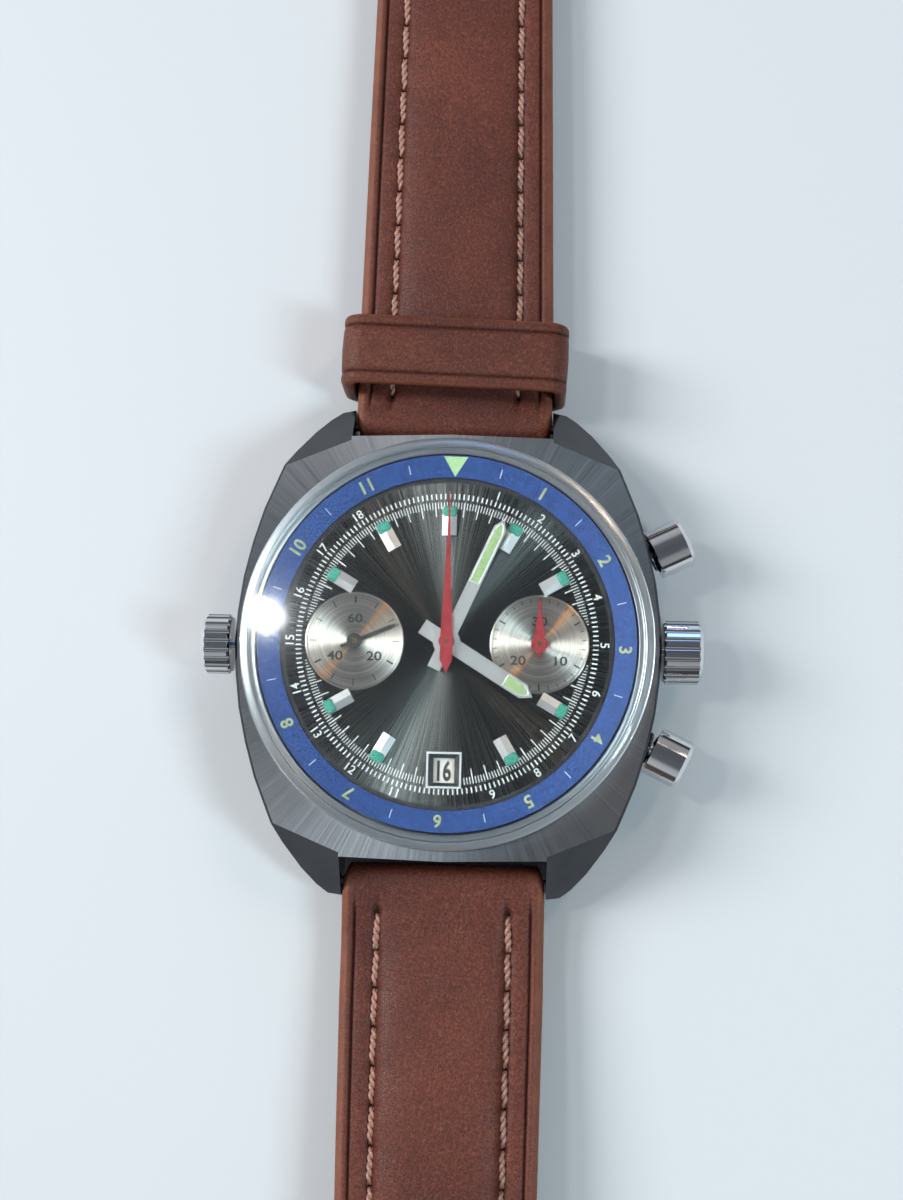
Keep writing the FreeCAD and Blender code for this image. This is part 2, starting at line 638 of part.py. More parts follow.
def chrono_bridge():
    """Carries the rear pivots of the chronograph wheels."""
    z0, z1 = CHRONO_BRIDGE_Z
    plate = prism([(-2.0, -1.8), (0.0, -2.2), (3.8, -4.8), (5.6, -4.8), (8.6, -1.6), (9.4, 0.0), (8.0, 1.5),
                   (2.0, 2.2), (-3.0, 6.6), (-4.6, 6.6), (-4.8, 5.0)], z0, z1)
    foot_a = cyl(0.8, z1 - 0.05, BRIDGE_Z[0], -3.9, 5.8)
    foot_b = cyl(0.7, z1 - 0.05, BRIDGE_Z[0], 4.8, -4.0)
    body = fuse(plate, foot_a, foot_b)
    for x in (0.0, SUB_X):
        body = body.cut(cyl(0.17, z0 - 1, z1 + 1, x, 0))
    return body


def mainspring_barrel():
    """The toothed drum; its floor faces the dial and its lid the back."""
    z0, z1 = 4.5, 5.45
    rim = gear(BARREL, BARREL_TEETH, BARREL_MODULE, z0, z1, toward(BARREL, (0, 0)))
    hollow = cyl(4.75, z0 + 0.15, z1 - 0.15, *BARREL)
    return rim.cut(hollow).cut(cyl(0.55, z0 - 1, z1 + 1, *BARREL))


def mainspring():
    """The coiled spring inside the drum, as a flat spiral strip."""
    turns = 7
    inner, outer, thick = 1.3, 4.6, 0.13
    z0, z1 = 4.7, 5.25
    steps = turns * 24
    out_side, in_side = [], []
    for n in range(steps + 1):
        a = 2 * math.pi * turns * n / steps
        r = inner + (outer - inner) * n / steps
        out_side.append((BARREL[0] + r * math.cos(a), BARREL[1] + r * math.sin(a)))
        in_side.append((BARREL[0] + (r - thick) * math.cos(a), BARREL[1] + (r - thick) * math.sin(a)))
    return prism(out_side + list(reversed(in_side)), z0, z1)


def barrel_arbor():
    body = fuse(arbor(BARREL, 0.5, 3.7, 6.3), arbor(BARREL, 0.8, 4.68, 5.27))
    square = box(BARREL[0] - 0.35, BARREL[0] + 0.35, BARREL[1] - 0.35, BARREL[1] + 0.35, 3.3, 3.75)
    return fuse(body, square)


def ratchet_wheel():
    z0, z1 = RATCHET_Z
    phase = meshing_phase(RATCHET_TEETH, BARREL, CROWN_TEETH, COUNTER, gap_phase(CROWN_TEETH, 0))
    wheel = gear(BARREL, RATCHET_TEETH, WINDING_MODULE, z0, z1, phase)
    hole = box(BARREL[0] - 0.36, BARREL[0] + 0.36, BARREL[1] - 0.36, BARREL[1] + 0.36, z0 - 1, z1 + 1)
    return wheel.cut(hole)


def crown_wheel():
    """Driven by the winding pinion on its +X side, it turns the ratchet wheel."""
    z0, z1 = RATCHET_Z
    wheel = gear(COUNTER, CROWN_TEETH, WINDING_MODULE, z0, z1, gap_phase(CROWN_TEETH, 0))
    return wheel.cut(cyl(1.3, z0 - 1, z1 + 1, *COUNTER))


def cannon_pinion():
    body = ring(0.46, CANNON_R, 7.7, 9.9)
    pinion = gear((0, 0), 12, 0.125, 7.7, 8.0, toward((0, 0), MINUTE_ARBOR))
    return fuse(body, pinion).cut(cyl(0.46, 7, 10))


def minute_wheel():
    to_centre = toward(MINUTE_ARBOR, (0, 0))
    wheel = gear(MINUTE_ARBOR, 36, 0.125, 7.72, 7.92, gap_phase(36, to_centre))
    pinion = gear(MINUTE_ARBOR, 10, 0.12, 7.92, 8.4, gap_phase(10, to_centre))
    return fuse(wheel, pinion, arbor(MINUTE_ARBOR, 0.2, 6.6, 8.5))


def hour_wheel():
    wheel = gear((0, 0), 40, 0.12, 8.1, 8.3, toward((0, 0), MINUTE_ARBOR))
    return fuse(wheel, cyl(HOUR_TUBE_R, 8.1, 9.58)).cut(cyl(CANNON_R + 0.06, 7, 10))


def centre_wheel():
    wheel = gear((0, 0), CENTRE_TEETH, CENTRE_MODULE, 5.7, 5.88, toward((0, 0), THIRD))
    wheel = wheel.cut(windows((0, 0), 1.2, 4.1, 4, 0.5, 5.7, 5.88))
    to_barrel = toward((0, 0), BARREL)
    pinion = gear((0, 0), CENTRE_PINION, BARREL_MODULE, 4.4, 5.5, gap_phase(CENTRE_PINION, to_barrel))
    hub = cyl(0.9, 5.45, 5.8)
    return fuse(wheel, pinion, hub, cyl(0.45, 3.8, 9.0)).cut(cyl(0.23, 3, 10))


def third_wheel():
    z0, z1 = 4.98, 5.12
    wheel = gear(THIRD, THIRD_TEETH, THIRD_MODULE, z0, z1, toward(THIRD, FOURTH))
    wheel = wheel.cut(windows(THIRD, 1.0, 3.4, 4, 0.45, z0, z1))
    to_centre = toward(THIRD, (0, 0))
    pinion = gear(THIRD, THIRD_PINION, CENTRE_MODULE, 5.6, 6.0, gap_phase(THIRD_PINION, to_centre))
    return fuse(wheel, pinion, arbor(THIRD, 0.2, 3.9, 7.2))


def fourth_wheel():
    """Turns once a minute: small seconds above, chronograph drive below."""
    wheel = gear(FOURTH, FOURTH_TEETH, FOURTH_MODULE, 4.45, 4.6, toward(FOURTH, ESCAPE))
    wheel = wheel.cut(windows(FOURTH, 0.8, 3.3, 4, 0.4, 4.45, 4.6))
    to_third = toward(FOURTH, THIRD)
    pinion = gear(FOURTH, FOURTH_PINION, THIRD_MODULE, 4.8, 5.25, gap_phase(FOURTH_PINION, to_third))
    drive = gear(FOURTH, 40, 0.09, *CHRONO_WHEEL_Z)
    return fuse(wheel, pinion, drive, arbor(FOURTH, 0.25, 2.3, 9.22))


def escape_wheel():
    """Fifteen raked teeth for the pallets."""
    outline = []
    for n in range(15):
        a = 2 * math.pi * n / 15
        for r, shift in ((1.55, 0.0), (2.1, 0.20), (2.1, 0.27), (1.55, 0.17)):
            outline.append(polar(ESCAPE, math.degrees(a + shift), r))
    wheel = prism(outline, 5.5, 5.65)
    wheel = wheel.cut(windows(ESCAPE, 0.6, 1.3, 5, 0.25, 5.5, 5.65))
    to_fourth = toward(ESCAPE, FOURTH)
    pinion = gear(ESCAPE, ESCAPE_PINION, FOURTH_MODULE, 4.35, 4.7, gap_phase(ESCAPE_PINION, to_fourth))
    return fuse(wheel, pinion, arbor(ESCAPE, 0.14, 3.9, 7.0))


def pallet_fork():
    """The lever, with its two stones beside the escape wheel and its fork at the balance."""
    z0, z1 = 5.5, 5.75
    back = toward(FORK, ESCAPE)
    front = toward(FORK, BALANCE)

    def at(direction, along, across):
        return (FORK[0] + along * math.cos(direction) - across * math.sin(direction),
                FORK[1] + along * math.sin(direction) + across * math.cos(direction))

    reach = math.dist(FORK, BALANCE) - 0.81
    neck = reach - 0.45
    lever = prism([at(front, 0, -0.25), at(front, neck, -0.12),
                   at(front, neck, 0.12), at(front, 0, 0.25)], z0, z1)
    horns = [prism([at(front, neck - 0.1, s * 0.1), at(front, neck + 0.25, s * 0.3),
                    at(front, reach, s * 0.3), at(front, reach, s * 0.22),
                    at(front, neck + 0.1, s * 0.02)], z0, z1) for s in (1, -1)]
    arms = [prism([at(back, -0.2, 0), at(back, 0.3, 0), at(back, 1.0, s * 1.7), at(back, 1.35, s * 2.0),
                   at(back, 0.6, s * 2.25)], z0, z1) for s in (1, -1)]
    hub = cyl(0.4, z0, z1, *FORK)
    return fuse(lever, hub, *horns, *arms, arbor(FORK, 0.14, 3.9, 7.0))


def balance_wheel():
    rim_r = BALANCE_R - 0.25
    rim = ring(BALANCE_R - 0.5, BALANCE_R, 4.45, 4.8, *BALANCE)
    spoke = box(BALANCE[0] - rim_r, BALANCE[0] + rim_r, BALANCE[1] - 0.25, BALANCE[1] + 0.25, 4.5, 4.7)
    roller = cyl(0.6, 5.35, 5.5, *BALANCE)
    collet = cyl(0.45, 4.0, 4.2, *BALANCE)
    staff = cyl(0.12, 3.2, 7.0, *BALANCE)
    middle = cyl(0.3, 4.0, 5.6, *BALANCE)
    body = fuse(rim, spoke, roller, collet, staff, middle)
    screws = []
    for n in range(12):
        screws.append(cyl(0.2, 4.75, 4.9, *polar(BALANCE, 30 * n + 15, rim_r)))
    return fuse(body, *screws)


def hairspring():
    """The balance spring, from just outside its collet to its stud on the cock."""
    turns = 9
    inner, outer, thick = 0.6, 2.7, 0.06
    steps = turns * 24
    out_side, in_side = [], []
    for n in range(steps + 1):
        a = 2 * math.pi * turns * n / steps
        r = inner + (outer - inner) * n / steps
        out_side.append((BALANCE[0] + r * math.cos(a), BALANCE[1] + r * math.sin(a)))
        in_side.append((BALANCE[0] + (r - thick) * math.cos(a), BALANCE[1] + (r - thick) * math.sin(a)))
    strip = prism(out_side + list(reversed(in_side)), 4.02, 4.18)
    stud_x = BALANCE[0] + outer + 0.05
    stud = cyl(0.2, 3.6, 4.2, stud_x, BALANCE[1])
    return fuse(strip, stud)


def heart(centre, z0, z1):
    """The heart-shaped cam that brings a chronograph wheel back to zero."""
    points = []
    for n in range(24):
        a = 2 * math.pi * n / 24
        r = 0.45 + 0.85 * (1 - abs(a - math.pi) / math.pi)
        points.append((centre[0] + r * math.sin(a), centre[1] + r * math.cos(a)))
    return prism(points, z0, z1)


def chrono_runner():
    z0, z1 = CHRONO_WHEEL_Z
    wheel = gear((0, 0), 100, 0.075, z0, z1).cut(windows((0, 0), 1.2, 3.1, 4, 0.4, z0, z1))
    return fuse(wheel, heart((0, 0), 2.2, z0), cyl(0.17, 1.7, 10.25))


def minute_counter_wheel():
    z0, z1 = CHRONO_WHEEL_Z
    centre = COUNTER
    wheel = gear(centre, 60, 0.1, z0, z1).cut(windows(centre, 0.9, 2.4, 4, 0.4, z0, z1))
    pivots = fuse(arbor(centre, 0.17, 1.7, 3.0), arbor(centre, 0.25, 2.8, 9.22))
    return fuse(wheel, heart(centre, 2.2, z0), pivots)


def lever_for(side):
    """A chronograph lever on the back of the movement, with an upright tab that
    the pusher's stem meets. side is 1 for the upper pusher and -1 for the lower."""
    z0, z1 = LEVER_Z
    tab_in, tab_out = PUSHER_TIP - 0.75, PUSHER_TIP - 0.15
    foot = [(tab_in, -1.1), (tab_out, -1.1), (tab_out, 0.6), (tab_in, 0.6)]
    tab = prism(foot, z0, STEM_Z + 0.5)
    blade = prism([(tab_out, -1.1), (tab_out, 0.6), (tab_in - 0.4, 1.4), (8.6, 5.4), (7.6, 5.0),
                   (7.4, 4.2), (12.6, -1.1)], z0, z1)
    hub = cyl(0.9, z0, z1, *LEVER_PIVOT)
    arm = prism([(LEVER_PIVOT[0] - 0.7, LEVER_PIVOT[1]), (LEVER_PIVOT[0] + 0.7, LEVER_PIVOT[1]),
                 (13.6, 0.5), (12.6, -0.6)], z0, z1)
    body = fuse(tab, blade, hub, arm).cut(cyl(0.4, z0 - 1, z1 + 1, *LEVER_PIVOT))
    if side < 0:
        body = body.mirror(V(0, 0, 0), V(0, 1, 0))
    return spun(body, side * PUSHER_ANGLE)


def movement_screws():
    """Slotted screws that hold the bridges and the cock."""
    spots = [(x, y, BRIDGE_Z[0]) for x, y in BRIDGE_FEET]
    spots += [(3.9, -13.2, 3.1), (-3.9, 5.8, CHRONO_BRIDGE_Z[0]), (4.8, -4.0, CHRONO_BRIDGE_Z[0])]
    screws = []
    for x, y, z in spots:
        head = cyl(0.75, z - 0.25, z, x, y)
        slot = box(x - 1, x + 1, y - 0.1, y + 0.1, z - 0.3, z - 0.12)
        screws.append(head.cut(slot))
    return Part.makeCompound(screws)


# ------------------------------------------------------------------- strap
def spring_bar(half_length, radius, tip_half, tip_r):
    body = cyl(radius, -half_length, half_length)
    tips = cyl(tip_r, -tip_half, tip_half)
    return along_x(fuse(body, tips)).translated(V(0, 0, -STEM_Z))


def spring_bars():
    bar = spring_bar(8.7, SPRING_BAR_R, 9.7, BAR_TIP_R)
    return Part.makeCompound([bar.translated(V(0, s * SPRING_BAR_Y, SPRING_BAR_Z)) for s in (1, -1)])


def strap_blank(outline, plan, pivot_y, pivot_z, bore):
    """A strap half: its side outline across its plan outline, rolled round its bar."""
    slab = side_prism(outline, 12)
    shape = prism(plan, -2, 14)
    body = slab.common(shape)
    at_bar = V(0, pivot_y, pivot_z - STEM_Z)
    roll = along_x(cyl(STRAP_END_R, -STRAP_HALF_W, STRAP_HALF_W)).translated(at_bar)
    hole = along_x(cyl(bore, -20, 20)).translated(at_bar)
    return fuse(body, roll).cut(hole)


def strap_buckle_side():
    y0 = SPRING_BAR_Y
    top = SPRING_BAR_Z + STRAP_END_R
    outline = [(y0, SPRING_BAR_Z - STRAP_END_R), (y0, top), (y0 + 7, top + 0.1), (y0 + 12, top + 0.55),
               (y0 + 30, top + 0.35), (y0 + 55, top - 0.5), (y0 + 66, top - 1.2),
               (BUCKLE_Y, BUCKLE_BAR_Z + 1.25),
               (BUCKLE_Y + 0.9, BUCKLE_BAR_Z + 0.9), (BUCKLE_Y + 1.25, BUCKLE_BAR_Z),
               (BUCKLE_Y + 0.9, BUCKLE_BAR_Z - 0.8), (BUCKLE_Y, BUCKLE_BAR_Z - 1.15),
               (FIXED_KEEPER[1] + 0.3, STRAP_BOTTOM), (y0 + 4, STRAP_BOTTOM)]
    half, end = STRAP_HALF_W, BUCKLE_HALF_W
    plan = [(-half, y0), (half, y0), (half, y0 + 10), (end, y0 + 60), (end, BUCKLE_Y + 2),
            (-end, BUCKLE_Y + 2), (-end, y0 + 60), (-half, y0 + 10)]
    body = strap_blank(outline, plan, y0, SPRING_BAR_Z, SPRING_BAR_R + RUN)
    bar_hole = along_x(cyl(0.7, -20, 20)).translated(V(0, BUCKLE_Y, BUCKLE_BAR_Z - STEM_Z))
    slot = box(-1.5, 1.5, BUCKLE_Y - 3.2, BUCKLE_Y + 3, 0, 8)
    return body.cut(bar_hole).cut(slot)


def strap_tail_side():
    y0 = -SPRING_BAR_Y
    z = SPRING_BAR_Z
    top = z + STRAP_END_R
    tip = y0 - TAIL_SIDE
    outline = [(y0, z - STRAP_END_R), (y0, top), (y0 - 7, top + 0.3), (y0 - 12, top + 1.1),
               (y0 - 22, top + 2.0), (y0 - 34, top + 2.5), (y0 - 48, top + 2.2), (y0 - 64, top + 0.8),
               (y0 - 80, 3.7), (y0 - 94, 2.5), (tip + 2, 2.1), (tip, 1.8), (tip, 0.3), (tip + 2, 0.05),
               (y0 - 92, 0.15), (y0 - 78, 1.1), (y0 - 62, 2.5), (y0 - 48, 3.6), (y0 - 34, 3.8),
               (y0 - 22, 3.2), (y0 - 10, 2.0)]
    half, end = STRAP_HALF_W, TAIL_HALF_W
    side = [(half, y0), (half, y0 - 10), (end, y0 - 70), (end, tip + 9), (6.6, tip + 4.2), (3.6, tip + 1.0)]
    plan = side + [(0, tip)] + [(-x, y) for x, y in reversed(side)]
    body = strap_blank(outline, plan, y0, z, SPRING_BAR_R + RUN)
    for n in range(HOLE_COUNT):
        body = body.cut(cyl(HOLE_R, -1, 10, 0, tip + 24 + HOLE_PITCH * n))
    return body


def loop(spec):
    """A leather keeper: a rounded rectangular band across the strap."""
    y0, y1, half, z0, z1 = spec

    def rounded(half_w, low, high, radius):
        block = box(-half_w, half_w, y0, y1, low, high)
        edges = [e for e in block.Edges if e.BoundBox.YLength > (y1 - y0) / 2]
        return block.makeFillet(radius, edges)

    outer = rounded(half, z0, z1, 1.4)
    wall = KEEPER_WALL
    inner = box(-half + wall, half - wall, y0 - 1, y1 + 1, z0 + wall, z1 - wall)
    edges = [e for e in inner.Edges if e.BoundBox.YLength > (y1 - y0) / 2]
    return outer.cut(inner.makeFillet(0.2, edges))


def buckle_bar():
    return spring_bar(8.1, 0.6, 9.3, 0.4).translated(V(0, BUCKLE_Y, BUCKLE_BAR_Z))


def buckle_frame():
    """A plain rectangular frame: two legs and a crossbar for the tongue."""
    z0, z1 = BUCKLE_BAR_Z - 1.0, BUCKLE_BAR_Z + 1.0
    y0, y1 = BUCKLE_Y - 1.4, BUCKLE_Y + 12.0
    outer = [(-10.2, y0), (10.2, y0), (10.2, y1 - 2), (8.6, y1), (-8.6, y1), (-10.2, y1 - 2)]
    body = prism(outer, z0, z1)
    body = body.cut(box(-8.25, 8.25, y0 - 1, y1 - 2.2, z0 - 1, z1 + 1))
    hole = along_x(cyl(0.4 + RUN, -9.5, 9.5)).translated(V(0, BUCKLE_Y, BUCKLE_BAR_Z - STEM_Z))
    seat = along_x(cyl(0.7, -1.2, 1.2)).translated(V(0, y1 - 1.1, z1 + 0.35 - STEM_Z))
    return body.cut(hole).cut(seat)


def buckle_tongue():
    eye = along_x(cyl(1.1, -1.1, 1.1)).translated(V(0, BUCKLE_Y, BUCKLE_BAR_Z - STEM_Z))
    low, high = BUCKLE_BAR_Z + 0.1, BUCKLE_BAR_Z + 0.9
    outline = [(BUCKLE_Y, low), (BUCKLE_Y + 9.4, low + 0.95), (BUCKLE_Y + 12.6, low + 0.95),
               (BUCKLE_Y + 12.6, low + 1.5), (BUCKLE_Y + 9.0, high + 0.9), (BUCKLE_Y, high)]
    blade = side_prism(outline, 0.85)
    hole = along_x(cyl(0.6 + RUN, -3, 3)).translated(V(0, BUCKLE_Y, BUCKLE_BAR_Z - STEM_Z))
    return fuse(eye, blade).cut(hole)


# ==================================================================== parts
def all_parts():
    button = pusher()
    coil = pusher_spring()
    return {
        "case_middle": case_middle(),
        "case_back": case_back(),
        "back_ring": back_ring(),
        "back_gasket": back_gasket(),
        "crystal": crystal(),
        "crystal_tension_ring": crystal_tension_ring(),
        "case_tubes": case_tubes(),
        "inner_bezel_ring": inner_bezel_ring(),
        "bezel_stem": bezel_stem(),
        "bezel_crown": bezel_crown(),
        "winding_crown": winding_crown(),
        "winding_stem": winding_stem(),
        "setting_lever": setting_lever(),
        "winding_pinion": winding_pinion(),
        "sliding_pinion": sliding_pinion(),
        "start_pusher": pusher_frame(button, 1),
        "reset_pusher": pusher_frame(button, -1),
        "start_pusher_spring": pusher_frame(coil, 1),
        "reset_pusher_spring": pusher_frame(coil, -1),
        "dial": dial(),
        "hour_markers": hour_markers(),
        "date_window_frame": date_window_frame(),
        "date_ring": date_ring(),
        "hour_hand": baton(HOUR_HAND, HOUR_TUBE_R + 0.3, HOUR_TUBE_R, HOUR_ANGLE),
        "minute_hand": baton(MINUTE_HAND, CANNON_R + 0.36, CANNON_R, MINUTE_ANGLE),
        "chrono_seconds_hand": chrono_seconds_hand(),
        "small_seconds_hand": small_seconds_hand(),
        "minute_counter_hand": minute_counter_hand(),
        "main_plate": main_plate(),
        "train_bridge": train_bridge(),
        "balance_cock": balance_cock(),
        "chrono_bridge": chrono_bridge(),
        "mainspring_barrel": mainspring_barrel(),
        "mainspring": mainspring(),
        "barrel_arbor": barrel_arbor(),
        "ratchet_wheel": ratchet_wheel(),
        "crown_wheel": crown_wheel(),
        "cannon_pinion": cannon_pinion(),
        "minute_wheel": minute_wheel(),
        "hour_wheel": hour_wheel(),
        "centre_wheel": centre_wheel(),
        "third_wheel": third_wheel(),
        "fourth_wheel": fourth_wheel(),
        "escape_wheel": escape_wheel(),
        "pallet_fork": pallet_fork(),
        "balance_wheel": balance_wheel(),
        "hairspring": hairspring(),
        "chrono_runner": chrono_runner(),
        "minute_counter_wheel": minute_counter_wheel(),
        "operating_lever": lever_for(1),
        "reset_hammer": lever_for(-1),
        "movement_screws": movement_screws(),
        "spring_bars": spring_bars(),
        "strap_buckle_side": strap_buckle_side(),
        "strap_tail_side": strap_tail_side(),
        "free_keeper": loop(FREE_KEEPER),
        "fixed_keeper": loop(FIXED_KEEPER),
        "buckle_bar": buckle_bar(),
        "buckle_frame": buckle_frame(),
        "buckle_tongue": buckle_tongue(),
    }


def main():
    os.makedirs("parts", exist_ok=True)
    for name, shape in all_parts().items():
        if not shape.isValid():
            raise ValueError("the shape of " + name + " isn't valid")
        shape.exportStep("parts/" + name + ".step")
        print(name, len(shape.Solids), round(shape.Volume, 3))


main()
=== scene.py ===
import json
import math
import bmesh
import bpy
import numpy as np
from mathutils import Matrix, Vector


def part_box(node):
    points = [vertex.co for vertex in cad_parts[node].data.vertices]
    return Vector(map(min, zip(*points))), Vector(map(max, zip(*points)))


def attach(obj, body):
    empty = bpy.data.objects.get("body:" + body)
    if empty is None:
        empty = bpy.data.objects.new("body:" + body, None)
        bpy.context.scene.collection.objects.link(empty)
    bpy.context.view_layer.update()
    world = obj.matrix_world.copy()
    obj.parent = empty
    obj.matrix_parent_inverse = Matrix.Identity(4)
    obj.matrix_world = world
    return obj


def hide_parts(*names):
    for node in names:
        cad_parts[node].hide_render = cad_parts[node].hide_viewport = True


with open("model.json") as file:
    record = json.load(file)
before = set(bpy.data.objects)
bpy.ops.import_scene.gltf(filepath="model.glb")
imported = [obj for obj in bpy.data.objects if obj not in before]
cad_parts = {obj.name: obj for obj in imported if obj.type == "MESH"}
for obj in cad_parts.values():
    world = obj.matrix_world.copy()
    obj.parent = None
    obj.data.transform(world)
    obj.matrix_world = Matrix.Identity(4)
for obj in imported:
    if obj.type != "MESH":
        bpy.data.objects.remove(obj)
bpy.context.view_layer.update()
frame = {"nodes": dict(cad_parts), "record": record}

# Lengths in this file are millimetres, in the row frame, and become metres in build_mesh().
MM = 0.001
nodes = frame["nodes"]


def top_of(node):
    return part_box(node)[1].z / MM


def middle_of(node):
    low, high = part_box(node)
    return (low + high) / 2 / MM


def size_of(node):
    low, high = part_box(node)
    return (high - low) / MM


DIAL_Z = top_of("dial")
DATE_Z = top_of("date_ring")
DATE_SHOWN = 16
DATE_MIDDLE = middle_of("date_window_frame")
DATE_SIZE = size_of("date_window_frame")
SUB_X = middle_of("fourth_wheel").x
SUB_R = 4.3
SUB_BASE = DIAL_Z - 0.1            # the floor of the small dials' recess
SUB_TOP = SUB_BASE + 0.035
RING_IN, RING_OUT = 14.5, 16.35
RING_TOP = top_of("inner_bezel_ring")
RING_SLOPE = 0.5 / (RING_OUT - RING_IN)
RING_TURN = 1.6                    # the turning ring stands a little past 12 o'clock
TURNED, TURNED_FINE = 160, 192     # facets round a turned piece
PRINT_H = 0.015
PRINT_GAP = 0.12                   # bare dial between a scale and what interrupts it
HOUR_ANGLE, MINUTE_ANGLE = 122.0, 24.0
MARKER_HOURS = (1, 2, 4, 5, 7, 8, 10, 11, 12)


# ---------------------------------------- mesh tools
def build_mesh(name, points, faces, material, smooth=True, attributes=None, weld=False):
    """A mesh object from millimetre points, with its normals outward."""
    mesh = bpy.data.meshes.new(name)
    mesh.from_pydata([Vector(p) * MM for p in points], [], faces)
    for key, values in (attributes or {}).items():
        mesh.attributes.new(key, "FLOAT", "POINT").data.foreach_set("value", values)
    work = bmesh.new()
    work.from_mesh(mesh)
    if weld:
        bmesh.ops.remove_doubles(work, verts=work.verts, dist=1e-8)
    bmesh.ops.recalc_face_normals(work, faces=work.faces)
    work.to_mesh(mesh)
    work.free()
    mesh.shade_smooth() if smooth else mesh.shade_flat()
    mesh.materials.append(material)
    piece = bpy.data.objects.new(name, mesh)
    bpy.context.scene.collection.objects.link(piece)
    return piece


def place(piece, body):
    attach(piece, body)


def sharpen(piece, degrees=35):
    piece.data.set_sharp_from_angle(angle=math.radians(degrees))
    return piece


def rings_mesh(rings, wrap=False):
    """Points and faces of a skin over equal closed rings, with flat ends or wrapped into a loop."""
    count = len(rings[0])
    points = [p for loop in rings for p in loop]
    faces = []
    last = len(rings) if wrap else len(rings) - 1
    for i in range(last):
        a, b = i * count, (i + 1) % len(rings) * count
        for j in range(count):
            k = (j + 1) % count
            faces.append((a + j, a + k, b + k, b + j))
    if not wrap:
        faces.append(tuple(reversed(range(count))))
        faces.append(tuple(range(len(points) - count, len(points))))
    return points, faces


def lathe(name, outline, centre, material, segments):
    """A piece turned about a vertical axis from a closed outline of (radius, z)."""
    rings = []
    for n in range(segments):
        a = 2 * math.pi * n / segments
        rings.append([(centre[0] + r * math.cos(a), centre[1] + r * math.sin(a), z) for r, z in outline])
    points, faces = rings_mesh(rings, wrap=True)
    return build_mesh(name, points, faces, material, weld=min(r for r, z in outline) == 0)


def tube_rings(path, radius, sides):
    """Rings of points round a path of Vectors, for one thin strand."""
    rings = []
    for n, p in enumerate(path):
        ahead = path[min(n + 1, len(path) - 1)] - path[max(n - 1, 0)]
        ahead.normalize()
        across = ahead.cross(Vector((0, 0, 1)))
        across = across.normalized() if across.length > 1e-6 else Vector((1, 0, 0))
        up = across.cross(ahead)
        rings.append([p + radius * (math.cos(t) * across + math.sin(t) * up)
                      for t in (2 * math.pi * k / sides for k in range(sides))])
    return rings


class Gather:
    """Collects several closed meshes into one."""

    def __init__(self):
        self.points, self.faces = [], []

    def add(self, points, faces):
        start = len(self.points)
        self.points += [tuple(p) for p in points]
        self.faces += [tuple(start + i for i in f) for f in faces]


def on_dial(r, degrees):
    """The point at a radius and a clockwise angle from 12 o'clock."""
    a = math.radians(degrees)
    return r * math.sin(a), r * math.cos(a)


def turned(x, y, degrees):
    """A point turned clockwise about the dial's centre."""
    a = math.radians(degrees)
    return x * math.cos(a) + y * math.sin(a), -x * math.sin(a) + y * math.cos(a)


# ---------------------------------------- print
def glyphs(body, height, bold, squeeze):
    """Flat outlines of one short text, its capitals `height` high, centred on the origin."""
    curve = bpy.data.curves.new("glyphs", "FONT")
    curve.body = body
    curve.resolution_u = 4
    curve.offset = bold
    holder = bpy.data.objects.new("glyphs", curve)
    mesh = bpy.data.meshes.new_from_object(holder)
    work = bmesh.new()
    work.from_mesh(mesh)
    bmesh.ops.remove_doubles(work, verts=work.verts, dist=1e-5)
    co = np.array([v.co[:2] for v in work.verts])
    low, high = co.min(0), co.max(0)
    size = height / (high[1] - low[1])
    middle = (low + high) / 2
    work.verts.index_update()
    points = [((v.co.x - middle[0]) * size * squeeze, (v.co.y - middle[1]) * size) for v in work.verts]
    faces = [tuple(v.index for v in f.verts) for f in work.faces]
    work.free()
    bpy.data.objects.remove(holder)
    bpy.data.curves.remove(curve)
    bpy.data.meshes.remove(mesh)
    return points, faces


class Print(Gather):
    """Flat shapes that become thin closed solids on a surface."""

    def add(self, points, faces, at=(0.0, 0.0), degrees=0.0):
        """Adds a shape turned clockwise by an angle and moved."""
        c, s = math.cos(math.radians(degrees)), math.sin(math.radians(degrees))
        start = len(self.points)
        self.points += [(at[0] + x * c + y * s, at[1] - x * s + y * c) for x, y in points]
        self.faces += [tuple(start + i for i in f) for f in faces]

    def tick(self, r0, r1, degrees, width, centre=(0.0, 0.0)):
        half = width / 2
        shape = [(-half, r0), (half, r0), (half, r1), (-half, r1)]
        self.add(shape, [(0, 1, 2, 3)], centre, degrees)

    def text(self, body, height, r, degrees, turn=None, bold=0.0, squeeze=1.0):
        points, faces = glyphs(body, height, bold, squeeze)
        self.add(points, faces, on_dial(r, degrees), degrees if turn is None else turn)

    def build(self, name, surface, material, height=PRINT_H, sink=0.005):
        """Each shape stands `height` proud of the surface, which gives z at (x, y)."""
        count = len(self.points)
        low = [(x, y, surface(x, y) - sink) for x, y in self.points]
        high = [(x, y, surface(x, y) + height) for x, y in self.points]
        edges = {}
        for f in self.faces:
            for a, b in zip(f, f[1:] + f[:1]):
                key = (min(a, b), max(a, b))
                edges[key] = None if key in edges else (a, b)
        sides = [(b, a, a + count, b + count) for a, b in (e for e in edges.values() if e)]
        faces = [tuple(reversed(f)) for f in self.faces]
        faces += [tuple(i + count for i in f) for f in self.faces]
        return build_mesh(name, low + high, faces + sides, material, smooth=False)


